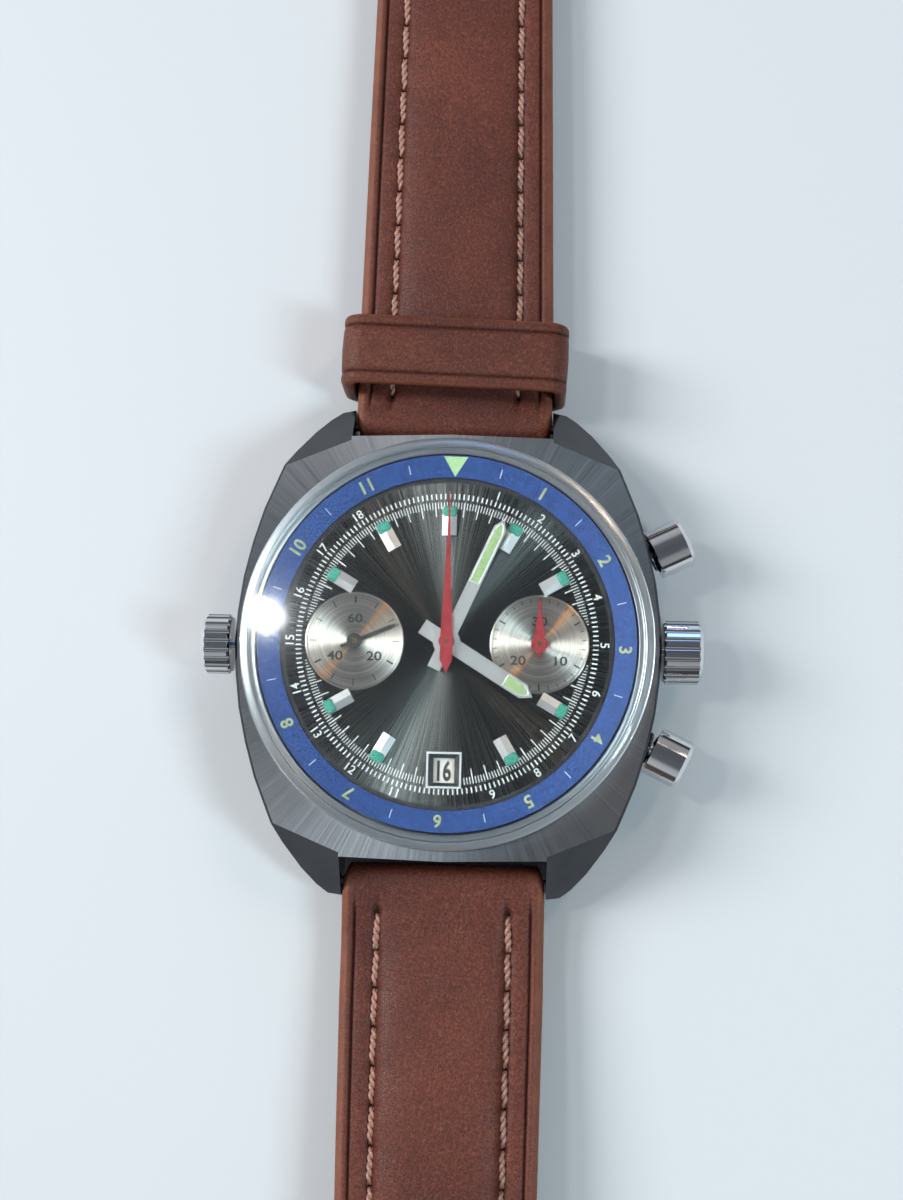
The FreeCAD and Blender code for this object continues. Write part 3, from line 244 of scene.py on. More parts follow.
# ---------------------------------------- materials
class Look:
    """A Principled material. Uniform values go straight on the shader's sockets."""

    def __init__(self, name, **values):
        self.material = bpy.data.materials.new(name)
        self.material.use_nodes = True
        self.tree = self.material.node_tree
        self.shader = self.tree.nodes["Principled BSDF"]
        for key, value in values.items():
            self.shader.inputs[key.replace("_", " ")].default_value = value
        self.place = self.add("ShaderNodeTexCoord").outputs["Object"]

    def add(self, kind, *fed, **settings):
        node = self.tree.nodes.new(kind)
        for key, value in settings.items():
            setattr(node, key, value)
        for key, value in fed:
            self.feed(node.inputs[key], value)
        return node

    def feed(self, socket, value):
        if isinstance(value, bpy.types.NodeSocket):
            self.tree.links.new(value, socket)
        else:
            socket.default_value = value

    def set(self, key, value):
        self.feed(self.shader.inputs[key], value)

    def math(self, operation, a, b=0.0):
        return self.add("ShaderNodeMath", (0, a), (1, b), operation=operation).outputs[0]

    def noise(self, where, scale, detail=3.0, rough=0.5):
        fed = (("Vector", where), ("Scale", scale), ("Detail", detail), ("Roughness", rough))
        return self.add("ShaderNodeTexNoise", *fed).outputs["Fac"]

    def cells(self, where, scale, output="Distance", feature="F1"):
        fed = (("Vector", where), ("Scale", scale))
        return self.add("ShaderNodeTexVoronoi", *fed, feature=feature).outputs[output]

    def ramp(self, factor, *stops):
        """A blend between two stops of (position, colour)."""
        ramp = self.add("ShaderNodeValToRGB", ("Fac", factor))
        for element, (position, colour) in zip(ramp.color_ramp.elements, stops):
            element.position, element.color = position, (*colour, 1)
        return ramp.outputs["Color"]

    def mix(self, factor, a, b):
        node = self.add("ShaderNodeMix", data_type="RGBA")
        for key, value in ((0, factor), (6, a), (7, b)):
            self.feed(node.inputs[key], (*value, 1) if isinstance(value, tuple) else value)
        return node.outputs[2]

    def span(self, value, low, high, to_low, to_high):
        fed = ((0, value), (1, low), (2, high), (3, to_low), (4, to_high))
        return self.add("ShaderNodeMapRange", *fed).outputs[0]

    def bump(self, height, distance, strength=1.0, below=None):
        fed = [("Height", height), ("Distance", distance * MM), ("Strength", strength)]
        if below is not None:
            fed.append(("Normal", below))
        return self.add("ShaderNodeBump", *fed).outputs["Normal"]

    def polar(self, centre=(0.0, 0.0)):
        """Angle and radius about a vertical axis, in radians and metres."""
        moved = self.add("ShaderNodeVectorMath", (0, self.place), (1, (centre[0] * MM, centre[1] * MM, 0)),
                         operation="SUBTRACT").outputs[0]
        parts = self.add("ShaderNodeSeparateXYZ", (0, moved))
        x, y = parts.outputs[0], parts.outputs[1]
        r = self.math("SQRT", self.math("ADD", self.math("MULTIPLY", x, x), self.math("MULTIPLY", y, y)))
        return self.math("ARCTAN2", y, x), r

    def drawn_noise(self, first, second):
        """Noise over two coordinates, each given with its own scale."""
        fed = [(n, self.math("MULTIPLY", *scaled)) for n, scaled in enumerate((first, second))]
        return self.noise(self.add("ShaderNodeCombineXYZ", *fed).outputs[0], 1.0, 2.0, 0.6)

    def rays(self, fine, along=30.0):
        """Noise drawn out along the radius, as radial brushing is."""
        angle, r = self.polar()
        return self.drawn_noise((angle, fine), (r, along))

    def facing_up(self):
        """1 on faces that look up at rest, in the object's own space."""
        normal = self.add("ShaderNodeTexCoord").outputs["Normal"]
        z = self.add("ShaderNodeSeparateXYZ", (0, normal)).outputs[2]
        return self.span(z, 0.93, 0.99, 0.0, 1.0)

    def round_tangent(self):
        self.set("Tangent", self.add("ShaderNodeTangent", direction_type="RADIAL", axis="Z").outputs[0])


def scratched_steel(name, colour, low, high, scale=900.0):
    """Polished steel with fine handling marks in its gloss."""
    look = Look(name, Metallic=1.0)
    marks = look.noise(look.place, scale, 2.0, 0.5)
    smudge = look.noise(look.place, scale / 8, 2.0)
    look.set("Roughness", look.span(look.math("MULTIPLY", marks, smudge), 0.1, 0.45, low, high))
    look.set("Base Color", look.mix(smudge, tuple(0.94 * c for c in colour), colour))
    look.set("Normal", look.bump(marks, 0.0008, 0.12))
    return look.material


def brushed_case():
    """Fine radial brushing on top; polished flanks and lug bevels, their steel colour painted far darker
    than the top's as shade.
    """
    look = Look("case_steel", Metallic=1.0, Anisotropic=0.6)
    streaks = look.rays(520.0)
    up = look.facing_up()
    drawn = look.span(streaks, 0.25, 0.75, 0.0, 1.0)
    # painted shade: the flanks get a much darker steel colour than the brushed top
    shaded_flank = look.mix(look.noise(look.place, 300.0), (0.050, 0.052, 0.058), (0.085, 0.088, 0.095))
    brushed = look.mix(drawn, (0.245, 0.255, 0.275), (0.375, 0.385, 0.40))
    look.set("Base Color", look.mix(up, shaded_flank, brushed))
    side = look.span(look.noise(look.place, 700.0, 4.0), 0.3, 0.7, 0.10, 0.2)
    top = look.span(streaks, 0.3, 0.7, 0.28, 0.40)
    look.set("Roughness", look.add("ShaderNodeMix", (0, up), (2, side), (3, top)).outputs[0])
    look.set("Normal", look.bump(look.math("MULTIPLY", streaks, up), 0.006, 0.5))
    look.round_tangent()
    return look.material


def turned_steel(name, dark, light, low, high, anisotropic=0.5, pitch=0.11):
    """Circular brushing about the piece's own middle."""
    look = Look(name, Metallic=1.0, Anisotropic=anisotropic, Anisotropic_Rotation=0.25)
    angle, r = look.polar()
    lines = look.drawn_noise((r, 1 / (pitch * MM)), (angle, 0.5))
    look.set("Base Color", look.mix(lines, dark, light))
    look.set("Roughness", look.span(lines, 0.3, 0.7, low, high))
    look.set("Normal", look.bump(lines, 0.002, 0.25))
    look.round_tangent()
    return look.material


def sunburst():
    """Black dial lacquer over radial brushing, bright only in narrow fans."""
    look = Look("dial_sunburst", Metallic=1.0, Anisotropic=1.0)
    streaks = look.rays(75.0, along=12.0)
    fine = look.rays(210.0, along=12.0)
    both = look.math("MULTIPLY", streaks, fine)
    bright = look.span(both, 0.17, 0.42, 0.0, 1.0)
    look.set("Base Color", look.mix(bright, (0.013, 0.014, 0.014), (0.15, 0.155, 0.145)))
    look.set("Roughness", look.span(streaks, 0.3, 0.7, 0.27, 0.35))
    look.set("Normal", look.bump(both, 0.004, 0.5))
    look.round_tangent()
    return look.material


def grooved_silver(name, centre):
    """Turned silver with a narrow copper streak painted in as a warm light's reflection: highlights stand
    as bow-ties across the grooves.
    """
    look = Look(name, Metallic=1.0, Anisotropic=0.93, Anisotropic_Rotation=0.25)
    angle, r = look.polar(centre)
    lines = look.drawn_noise((r, 11000.0), (angle, 0.3))
    drawn = look.span(lines, 0.34, 0.66, 0.0, 1.0)
    # painted reflection: a narrow copper streak at a fixed angle across the disc stands in for a warm
    # light's reflection
    reflection_streak = look.math("ABSOLUTE", look.math("SINE", look.math("SUBTRACT", angle, math.radians(50.0))))
    silver = look.mix(drawn, (0.33, 0.30, 0.265), (0.64, 0.595, 0.53))
    copper_reflection = look.mix(drawn, (0.72, 0.39, 0.21), (1.0, 0.66, 0.42))
    look.set("Base Color", look.mix(look.span(reflection_streak, 0.02, 0.15, 0.95, 0.0), silver, copper_reflection))
    look.set("Roughness", look.span(lines, 0.3, 0.7, 0.32, 0.42))
    look.set("Normal", look.bump(drawn, 0.003, 0.3))
    look.round_tangent()
    return look.material


def speckled_blue():
    """Metallic blue paint: fine flakes in a deep colour."""
    look = Look("ring_blue", Metallic=0.25, Specular_IOR_Level=0.35)
    flakes = look.cells(look.place, 10500.0, "Color")
    grey = look.add("ShaderNodeSeparateColor", (0, flakes)).outputs[0]
    colour = look.mix(grey, (0.005, 0.018, 0.078), (0.021, 0.074, 0.265))
    look.set("Base Color", colour)
    look.set("Roughness", look.span(grey, 0.0, 1.0, 0.42, 0.6))
    look.set("Normal", look.bump(grey, 0.004, 0.3))
    return look.material


def paint(name, dark, light, rough, scale=1500.0, coat=0.0, grain=0.004):
    """A painted or printed surface with slight unevenness."""
    look = Look(name, Coat_Weight=coat, Coat_Roughness=0.15)
    grit = look.noise(look.place, scale, 4.0, 0.6)
    look.set("Base Color", look.ramp(grit, (0.3, dark), (0.7, light)))
    look.set("Roughness", look.span(grit, 0.3, 0.7, rough - 0.06, rough + 0.06))
    look.set("Normal", look.bump(grit, grain, 0.5))
    return look.material


def brushed_metal(name, dark, light, rough):
    """Straight-grained metal: gilt plates, brass wheels, steel parts."""
    look = Look(name, Metallic=1.0)
    drawn = look.add("ShaderNodeMapping", ("Vector", look.place), ("Scale", (1.0, 14.0, 1.0))).outputs[0]
    grain = look.noise(drawn, 900.0, 3.0, 0.6)
    look.set("Base Color", look.mix(grain, dark, light))
    look.set("Roughness", look.span(grain, 0.3, 0.7, rough - 0.08, rough + 0.08))
    look.set("Normal", look.bump(grain, 0.003, 0.4))
    return look.material


def leather(name, dark, light, worn):
    """Finished calf: fine pores, soft shine, painted shade in the seams and creases, and warmer on worn
    edges.
    """
    look = Look(name, Coat_Weight=0.04, Coat_Roughness=0.4, Specular_IOR_Level=0.34)
    pores = look.cells(look.place, 3600.0, feature="DISTANCE_TO_EDGE")
    grain = look.noise(look.place, 3800.0, 4.0, 0.6)
    fold = look.noise(look.place, 420.0, 3.0, 0.5)
    drift = look.noise(look.place, 90.0, 3.0, 0.55)
    colour = look.mix(look.span(drift, 0.3, 0.7, 0.0, 1.0), dark, light)
    colour = look.mix(look.span(grain, 0.36, 0.62, 0.60, 0.0), colour, tuple(0.40 * c for c in dark))
    colour = look.mix(look.span(grain, 0.56, 0.72, 0.0, 0.24), colour, tuple(1.5 * c for c in worn))
    wear = look.add("ShaderNodeAttribute", attribute_name="wear").outputs["Fac"]
    colour = look.mix(look.math("MULTIPLY", wear, look.span(fold, 0.3, 0.7, 0.4, 1.0)), colour, worn)
    # painted shade: the seam attribute darkens the stitch grooves and holes, the creases and the keeper's
    # inside almost to black; on the strap's sides it stands for darker edge paint
    seam = look.add("ShaderNodeAttribute", attribute_name="seam").outputs["Fac"]
    look.set("Base Color", look.mix(seam, colour, tuple(0.12 * c for c in dark)))
    look.set("Roughness", look.span(look.math("ADD", grain, fold), 0.7, 1.3, 0.40, 0.60))
    small = look.bump(look.span(pores, 0.0, 0.12, 0.0, 1.0), 0.03, 0.7)
    normal = look.bump(grain, 0.06, 0.8, small)
    look.set("Normal", look.bump(fold, 0.05, 0.5, normal))
    return look.material


def thread():
    """Waxed thread, paler than the leather."""
    look = Look("thread", Sheen_Weight=0.15, Sheen_Roughness=0.3)
    fibre = look.noise(look.place, 7000.0, 3.0, 0.7)
    look.set("Base Color", look.ramp(fibre, (0.3, (0.26, 0.105, 0.07)), (0.7, (0.60, 0.34, 0.26))))
    look.set("Roughness", look.span(fibre, 0.3, 0.7, 0.28, 0.45))
    look.set("Normal", look.bump(fibre, 0.02, 0.6))
    return look.material


def clear_acrylic():
    """Clear to lamps, so that the dial under it is lit as through real acrylic."""
    look = Look("acrylic", Transmission_Weight=1.0, IOR=1.49, Coat_Weight=0.35, Coat_Roughness=0.2)
    look.set("Base Color", (0.985, 0.992, 0.99, 1))
    haze = look.noise(look.place, 500.0, 5.0, 0.7)
    look.set("Roughness", look.span(haze, 0.3, 0.7, 0.07, 0.12))
    shadow = look.add("ShaderNodeLightPath").outputs["Is Shadow Ray"]
    clear = look.add("ShaderNodeBsdfTransparent", ("Color", (0.94, 0.96, 0.95, 1)))
    both = look.add("ShaderNodeMixShader", (0, shadow), (1, look.shader.outputs[0]), (2, clear.outputs[0]))
    out = look.tree.nodes["Material Output"]
    look.tree.links.new(both.outputs[0], out.inputs["Surface"])
    return look.material


WHITE = paint("print_white", (0.50, 0.51, 0.49), (0.72, 0.73, 0.70), 0.45)
DULL_YELLOW = paint("print_yellow_green", (0.20, 0.24, 0.11), (0.34, 0.38, 0.19), 0.5)
PALE_BLUE = paint("print_pale", (0.34, 0.40, 0.52), (0.50, 0.56, 0.66), 0.5)
DARK_GREY = paint("print_grey", (0.012, 0.011, 0.010), (0.026, 0.024, 0.022), 0.8)
DATE_BLACK = paint("print_black", (0.012, 0.012, 0.012), (0.03, 0.03, 0.03), 0.45)
LUME_TEAL = paint("lume_teal", (0.008, 0.13, 0.085), (0.045, 0.30, 0.215), 0.6, 5000.0, grain=0.03)
LUME_GREEN = paint("lume_green", (0.18, 0.27, 0.105), (0.29, 0.385, 0.18), 0.65, 4000.0, grain=0.02)
TRIANGLE = paint("lume_triangle", (0.24, 0.38, 0.17), (0.36, 0.52, 0.26), 0.6, 4000.0, grain=0.015)
BLACK = paint("hand_black", (0.012, 0.012, 0.013), (0.03, 0.03, 0.03), 0.35)
FRAME_STEEL = scratched_steel("frame_steel", (0.66, 0.67, 0.66), 0.48, 0.56, 3000.0)
SEAT_STEEL = turned_steel("seat_steel", (0.37, 0.39, 0.41), (0.50, 0.52, 0.54), 0.27, 0.33, 0.35, 0.16)
STRAP_LEATHER = leather("strap_leather", (0.105, 0.022, 0.013), (0.185, 0.044, 0.023), (0.25, 0.078, 0.038))
KEEPER_LEATHER = leather("keeper_leather", (0.105, 0.023, 0.012), (0.165, 0.040, 0.019),
                         (0.25, 0.085, 0.04))

SLOT_LOOKS = {
    "case_brushed": brushed_case(),
    "polished_steel": scratched_steel("polished_steel", (0.74, 0.745, 0.76), 0.04, 0.13),
    "back_steel": turned_steel("back_steel", (0.45, 0.45, 0.46), (0.62, 0.62, 0.63), 0.2, 0.38),
    "gasket_rubber": paint("rubber", (0.015, 0.015, 0.015), (0.03, 0.03, 0.03), 0.7),
    "crystal_acrylic": clear_acrylic(),
    "bezel_blue": speckled_blue(),
    "dial_anthracite": sunburst(),
    "marker_steel": scratched_steel("marker_steel", (0.86, 0.85, 0.83), 0.29, 0.34, 3000.0),
    "hand_steel": scratched_steel("hand_steel", (0.86, 0.85, 0.83), 0.30, 0.36, 3000.0),
    "hand_red": paint("hand_red", (0.17, 0.008, 0.012), (0.31, 0.024, 0.030), 0.35, 2500.0, coat=0.2),
    "hand_black": BLACK,
    "date_white": paint("date_white", (0.62, 0.56, 0.49), (0.74, 0.69, 0.61), 0.6, 900.0),
    "movement_gilt": brushed_metal("gilt", (0.52, 0.36, 0.15), (0.72, 0.54, 0.27), 0.3),
    "wheel_brass": brushed_metal("brass", (0.56, 0.40, 0.14), (0.76, 0.58, 0.25), 0.2),
    "movement_steel": brushed_metal("tool_steel", (0.42, 0.42, 0.43), (0.62, 0.62, 0.64), 0.2),
    "spring_steel": brushed_metal("spring", (0.18, 0.20, 0.26), (0.34, 0.36, 0.42), 0.25),
    "strap_leather": STRAP_LEATHER,
    "keeper_leather": KEEPER_LEATHER,
}
for subpart in frame["record"]["subparts"]:
    node = nodes[subpart["node"]]
    node.data.materials.clear()
    node.data.materials.append(SLOT_LOOKS[subpart["material_slot"]])
nodes["date_window_frame"].data.materials[0] = FRAME_STEEL


# ---------------------------------------- dial
def clear_of_subdials(r, degrees):
    x, y = on_dial(r, degrees)
    return min(math.dist((x, y), (s * SUB_X, 0.0)) for s in (1, -1)) > SUB_R + PRINT_GAP


def clear_of_date(r, degrees):
    x, y = on_dial(r, degrees)
    return (abs(x - DATE_MIDDLE.x) > DATE_SIZE.x / 2 + PRINT_GAP
            or abs(y - DATE_MIDDLE.y) > DATE_SIZE.y / 2 + PRINT_GAP)


def scale_tick(sheet, r0, r1, degrees, width):
    """A tick that stops short of the small dials and the date frame."""
    step, least, shortest = 0.05, 0.08, 0.1
    while r0 < r1 - least and not (clear_of_subdials(r0, degrees) and clear_of_date(r0, degrees)):
        r0 += step
    if r1 - r0 > shortest:
        sheet.tick(r0, r1, degrees, width)


def dial_print():
    """Fifths of a second, and round them a distance scale with the numbers 1 to 18."""
    sheet = Print()
    fifths, fifths_end = 300, 12.35
    for n in range(fifths):
        start, width = (11.05, 0.085) if n % 5 == 0 else (11.75, 0.065)
        scale_tick(sheet, start, fifths_end, 360.0 * n / fifths, width)
    step, scale_start, scale_end = 18.0, 12.62, 13.1
    for n in range(200):
        sheet.tick(scale_start, scale_end, step / 10 * n, 0.11)
    numeral_r, numeral_h = 13.62, 0.76
    for number in range(1, 19):
        degrees = step * number
        if number == 10:           # the dial has no 10 below its date window
            continue
        turn = degrees + 180 if 108 < degrees < 252 else degrees
        sheet.text(str(number), numeral_h, numeral_r, degrees, turn=turn, bold=0.004)
    place(sheet.build("dial_scales", lambda x, y: DIAL_Z, WHITE), "case")


def subdial_plate(name, centre):
    """A silver disc with turned concentric grooves and a raised rim."""
    radius, low, top, rim = SUB_R - 0.02, SUB_BASE - 0.003, SUB_TOP, SUB_TOP + 0.075
    hole, groove_start, groove_margin = 0.5, 0.62, 0.42
    pitch, depth = 0.15, 0.006
    outline = [(hole, low), (hole, top)]
    r = groove_start
    while r < radius - groove_margin:
        outline += [(r, top), (r + pitch / 2, top - depth)]
        r += pitch
    outline += [(r, top), (radius - 0.16, top), (radius - 0.14, rim), (radius - 0.03, rim),
                (radius, top + 0.06), (radius, low)]
    plate = lathe(name, outline, centre, grooved_silver(name + "_silver", centre), TURNED)
    place(sharpen(plate, 60), "case")


def subdial_print(name, centre, marks, numbers):
    """Ticks as (degrees, from, to, width) and numbers as (text, x, y) from the small dial's middle."""
    sheet, numeral_h = Print(), 0.82
    for degrees, r0, r1, width in marks:
        sheet.tick(r0, r1, degrees, width, centre)
    for body, dx, dy in numbers:
        points, faces = glyphs(body, numeral_h, bold=0.018, squeeze=1.22)
        sheet.add(points, faces, (centre[0] + dx, centre[1] + dy))
    piece = sheet.build(name, lambda x, y: SUB_TOP, DARK_GREY, height=0.012, sink=0.03)
    place(piece, "case")


def small_dials():
    """Small seconds on the left, and the counter of 30 minutes on the right."""
    left, right = (SUB_X, 0.0), (-SUB_X, 0.0)
    subdial_plate("small_seconds_dial", left)
    marks = [(30 * n, 3.3, 3.92, 0.15 if n % 4 == 0 else 0.07) for n in range(12)]
    numbers = [("60", 0, 2.0), ("20", 1.73, -1.28), ("40", -1.67, -1.28)]
    subdial_print("small_seconds_scale", left, marks, numbers)
    subdial_plate("minute_counter_dial", right)
    marks = [(12 * n, 3.45, 4.02, 0.13) if n % 5 == 0 else (12 * n, 3.68, 4.02, 0.06) for n in range(30)]
    numbers = [("30", 0, 2.0), ("10", 1.87, -1.42), ("20", -1.83, -1.42)]
    subdial_print("minute_counter_scale", right, marks, numbers)


def ring_surface(x, y):
    """The height of the turning ring's sloping face."""
    return RING_TOP - (RING_OUT - math.hypot(x, y)) * RING_SLOPE


def ring_print():
    """The turning ring's hour scale: a luminous triangle, numerals and half-hour ticks."""
    numerals, ticks, mark = Print(), Print(), Print()
    numeral_h, numeral_r, tick_from, tick_to = 1.12, 15.38, 15.05, 15.82
    for hour in range(1, 12):
        numerals.text(str(hour), numeral_h, numeral_r, 30.0 * hour + RING_TURN, bold=0.02)
    for hour in range(12):
        ticks.tick(tick_from, tick_to, 30.0 * hour + 15.0 + RING_TURN, 0.07)
    r_tip, r_base, half = 14.55, 16.25, 1.06
    steps = 8                      # the triangle in strips, so that it follows the ring's cone
    left = [(-half * n / steps, r_tip + (r_base - r_tip) * n / steps) for n in range(steps + 1)]
    for (x0, y0), (x1, y1) in zip(left, left[1:]):
        if x0 == 0:
            mark.add([(x0, y0), (-x1, y1), (x1, y1)], [(0, 1, 2)], degrees=RING_TURN)
        else:
            mark.add([(x0, y0), (-x0, y0), (-x1, y1), (x1, y1)], [(0, 1, 2, 3)], degrees=RING_TURN)
    for piece in (numerals.build("ring_numerals", ring_surface, DULL_YELLOW, 0.02),
                  ticks.build("ring_ticks", ring_surface, PALE_BLUE),
                  mark.build("ring_triangle", ring_surface, TRIANGLE, 0.03)):
        place(piece, "inner_bezel")


def lume_blocks():
    """A rounded block of luminous paint on the outer end of each applied marker."""
    outer, inner, half = 11.95, 11.05, 0.60
    low, high = DIAL_Z + 0.04, DIAL_Z + 0.36
    levels = ((low, 0.0), (low + 0.2, 0.015), (high - 0.05, -0.03), (high, -0.14), (high + 0.02, -0.34))
    count, squareness = 28, 0.45
    gathered = Gather()
    for hour in MARKER_HOURS:
        rings = []
        for z, grow in levels:
            loop = []
            for n in range(count):
                t = 2 * math.pi * n / count
                across, along = math.cos(t), math.sin(t)
                x = math.copysign(abs(across) ** squareness, across) * (half + grow)
                y = math.copysign(abs(along) ** squareness, along) * ((outer - inner) / 2 + grow)
                loop.append((*turned(x, y + (outer + inner) / 2, 30 * hour), z))
            rings.append(loop)
        gathered.add(*rings_mesh(rings))
    piece = build_mesh("marker_lume", gathered.points, gathered.faces, LUME_TEAL)
    place(piece, "case")


def window_outline(half, low, high, shoulder, point):
    """The outline of the luminous window in a hand, with its blunt point outward."""
    return [(-half, low), (half, low), (half, shoulder), (half * 0.45, high - point * 0.25), (0, high),
            (-half * 0.45, high - point * 0.25), (-half, shoulder)]


def hand_fill(hand, degrees, r0, r1, width, point):
    """Luminous paint in a hand's blade, very slightly crowned."""
    z = top_of(hand)
    flat = window_outline(width / 2, r0, r1, r1 - point, point)
    middle = (r0 + r1) / 2
    rings = []
    for lift, size in ((-0.02, 1.0), (0.015, 1.0), (0.035, 0.9), (0.042, 0.6)):
        length = 1 - (1 - size) * 0.35
        rings.append([(*turned(x * size, middle + (y - middle) * length, degrees), z + lift)
                      for x, y in flat])
    points, faces = rings_mesh(rings)
    place(sharpen(build_mesh(hand + "_lume", points, faces, LUME_GREEN)), hand)


def hand_rim(hand, degrees, r0, r1, width, point):
    """The raised bright line round a hand's luminous window."""
    z, line = top_of(hand), 0.11
    section = ((0.0, -0.02), (0.0, 0.035), (line * 0.3, 0.055), (line * 0.7, 0.055), (line, 0.03),
               (line, -0.02))
    rings = []
    for grow, lift in section:
        high = r1 + 1.5 * grow
        flat = window_outline(width / 2 + grow, r0 - grow, high, high - point - 0.5 * grow, point)
        rings.append([(*turned(x, y, degrees), z + lift) for x, y in flat])
    points, faces = rings_mesh(rings, wrap=True)
    place(build_mesh(hand + "_rim", points, faces, FRAME_STEEL, smooth=False), hand)


def date_numbers():
    """The 31 numbers of the date ring, each upright as it stands in the window."""
    sheet = Print()
    days, height, r = 31, 1.82, 11.0
    for n in range(days):
        day = (DATE_SHOWN - 1 + n) % days + 1
        degrees = 180.0 - 360.0 * n / days
        sheet.text(str(day), height, r, degrees, turn=degrees - 180.0, bold=0.03,
                   squeeze=0.62 if day > 9 else 0.78)
    place(sheet.build("date_numbers", lambda x, y: DATE_Z, DATE_BLACK), "date_ring")


def date_margin():
    """The black sloping margin between the date frame and its opening."""
    frame_line = 0.17
    frame_half = (DATE_SIZE.x / 2 - frame_line, DATE_SIZE.y / 2 - frame_line)
    opening_half = (0.895, 1.065)
    section = ((frame_half, 0.02), (opening_half, -0.36), (opening_half, -0.42), (frame_half, -0.03))
    rings = []
    for (half_x, half_y), rise in section:
        rings.append([(DATE_MIDDLE.x + i * half_x, DATE_MIDDLE.y + j * half_y, DIAL_Z + rise)
                      for i, j in ((-1, -1), (1, -1), (1, 1), (-1, 1))])
    points, faces = rings_mesh(rings, wrap=True)
    piece = build_mesh("date_margin", points, faces, DATE_BLACK, smooth=False)
    place(piece, "case")


def dial_border():
    """A black ring painted on the dial's edge as the turning ring's shadow, part of it under the ring."""
    inner, outer, low, high = 14.06, 15.5, DIAL_Z - 0.003, DIAL_Z + 0.012
    outline = [(inner, low), (inner, high), (outer, high), (outer, low)]
    place(sharpen(lathe("dial_border", outline, (0, 0), BLACK, TURNED)), "case")


def arc_heights(r_edge, z_edge, z_top, radii):
    """Points (radius, z) on a shallow dome through its top and its edge."""
    rise = z_top - z_edge
    bend = (r_edge ** 2 + rise ** 2) / (2 * rise)
    return [(r, z_top - bend + math.sqrt(bend ** 2 - r ** 2)) for r in radii]


def crystal_dome():
    """The acrylic crystal: a shallow dome, a rolled shoulder and an upright wall."""
    low, high = (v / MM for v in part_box("crystal"))
    outside, inside = high.x - 0.03, 17.62
    foot, top = low.z + 0.02, high.z
    radii = [0, 1.5, 3, 4.5, 6, 7.5, 9, 10.5, 12, 13.2, 14.2, 15, 15.7, 16.3, 16.8]
    outline = arc_heights(high.x - 0.7, top - 1.45, top, radii + [17.1, 17.3])
    outline += [(17.5, top - 1.51), (17.68, top - 1.62), (17.83, top - 1.79), (17.93, top - 1.99)]
    outline += [(outside, top - 2.25), (outside, top - 3.4), (outside, foot), (inside, foot)]
    outline += [(inside, top - 2.76), *reversed(arc_heights(17.1, top - 2.7, top - 1.4, radii))]
    piece = lathe("crystal_dome", outline, (0, 0), SLOT_LOOKS["crystal_acrylic"], TURNED_FINE)
    sharpen(piece, 50)
    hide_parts("crystal")
    place(piece, "case")


def crystal_seat():
    """The turned steel ring in the crystal's foot, with two bright lips and a groove between them."""
    low, high = (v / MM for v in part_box("crystal_tension_ring"))
    inside, outside = 16.52, 17.58
    foot, lip = low.z + 0.02, high.z - 0.05
    outline = [(inside, foot), (inside, lip - 0.09), (16.56, lip - 0.02), (16.64, lip), (16.72, lip - 0.05),
               (16.98, lip - 0.05), (17.05, lip - 0.02), (17.10, lip - 0.12), (17.15, lip - 0.03),
               (17.22, lip), (17.40, lip - 0.06), (outside, lip - 0.13), (outside, foot)]
    ring = sharpen(lathe("crystal_seat_ring", outline, (0, 0), SEAT_STEEL, TURNED_FINE), 50)
    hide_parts("crystal_tension_ring")
    place(ring, "case")


# ---------------------------------------- strap
# The tables give (distance from the spring bar, value): the heights of the top and the underside, half the
# width, and how far the padding rises above the stitched edges.
STRAP_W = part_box("strap_tail_side")[1].x / MM   # half the width, at the lugs
BAR = Vector((0, 20.6, 3.2))
ROLL_R = 1.6                # the leather's roll round the bar
SEAM_X, CREASE_X = 5.75, 7.72
EDGE_ROUND = 0.75
STITCH, FIRST_STITCH = 3.3, 2.7
BUCKLE_STITCHES, TAIL_STITCHES = 18, 31
CUT_LEVELS = (-1, 9)        # below and above the leather everywhere
BUCKLE_TOP = [(0, 4.8), (7, 4.9), (12, 5.35), (30, 5.15), (55, 4.3), (66, 3.6), (75, 3.0), (75.9, 2.65),
              (76.25, 1.78)]
BUCKLE_LOW = [(0, 1.6), (4, 1.35), (69.7, 1.35), (75, 0.6), (75.9, 0.95), (76.25, 1.72)]
BUCKLE_WIDE = [(0, 8.9), (10, 8.9), (60, 8.0), (77, 8.0)]
TAIL_TOP = [(0, 4.8), (7, 5.1), (12, 5.9), (22, 6.8), (34, 7.3), (48, 7.0), (64, 5.6), (80, 3.7), (94, 2.5),
            (113, 2.1), (115, 1.8)]
TAIL_LOW = [(0, 1.6), (10, 2.0), (22, 3.2), (34, 3.8), (48, 3.6), (62, 2.5), (78, 1.1), (92, 0.15),
            (113, 0.05), (115, 0.3)]
TAIL_WIDE = [(0, 8.9), (10, 8.9), (70, 8.0), (106, 8.0), (108.5, 7.6), (110.8, 6.6), (112.7, 5.2),
             (114, 3.6), (114.7, 2.1), (115, 0.9)]
BUCKLE_CROWN = [(0, 0), (1.2, 0), (5, 0.8), (14, 1.15), (40, 0.75), (58, 0.3), (66, 0.1), (77, 0.05)]
TAIL_CROWN = [(0, 0), (1.2, 0), (5, 0.9), (14, 1.35), (45, 1.25), (75, 0.6), (95, 0.25), (115, 0.1)]


def eased(table, at, reach):
    """A table of (distance, value) read along a line, with its corners rounded."""
    xs, ys = zip(*table)
    total = sum(np.interp(at + reach * k / 4, xs, ys) for k in range(-4, 5))
    return float(total / 9)


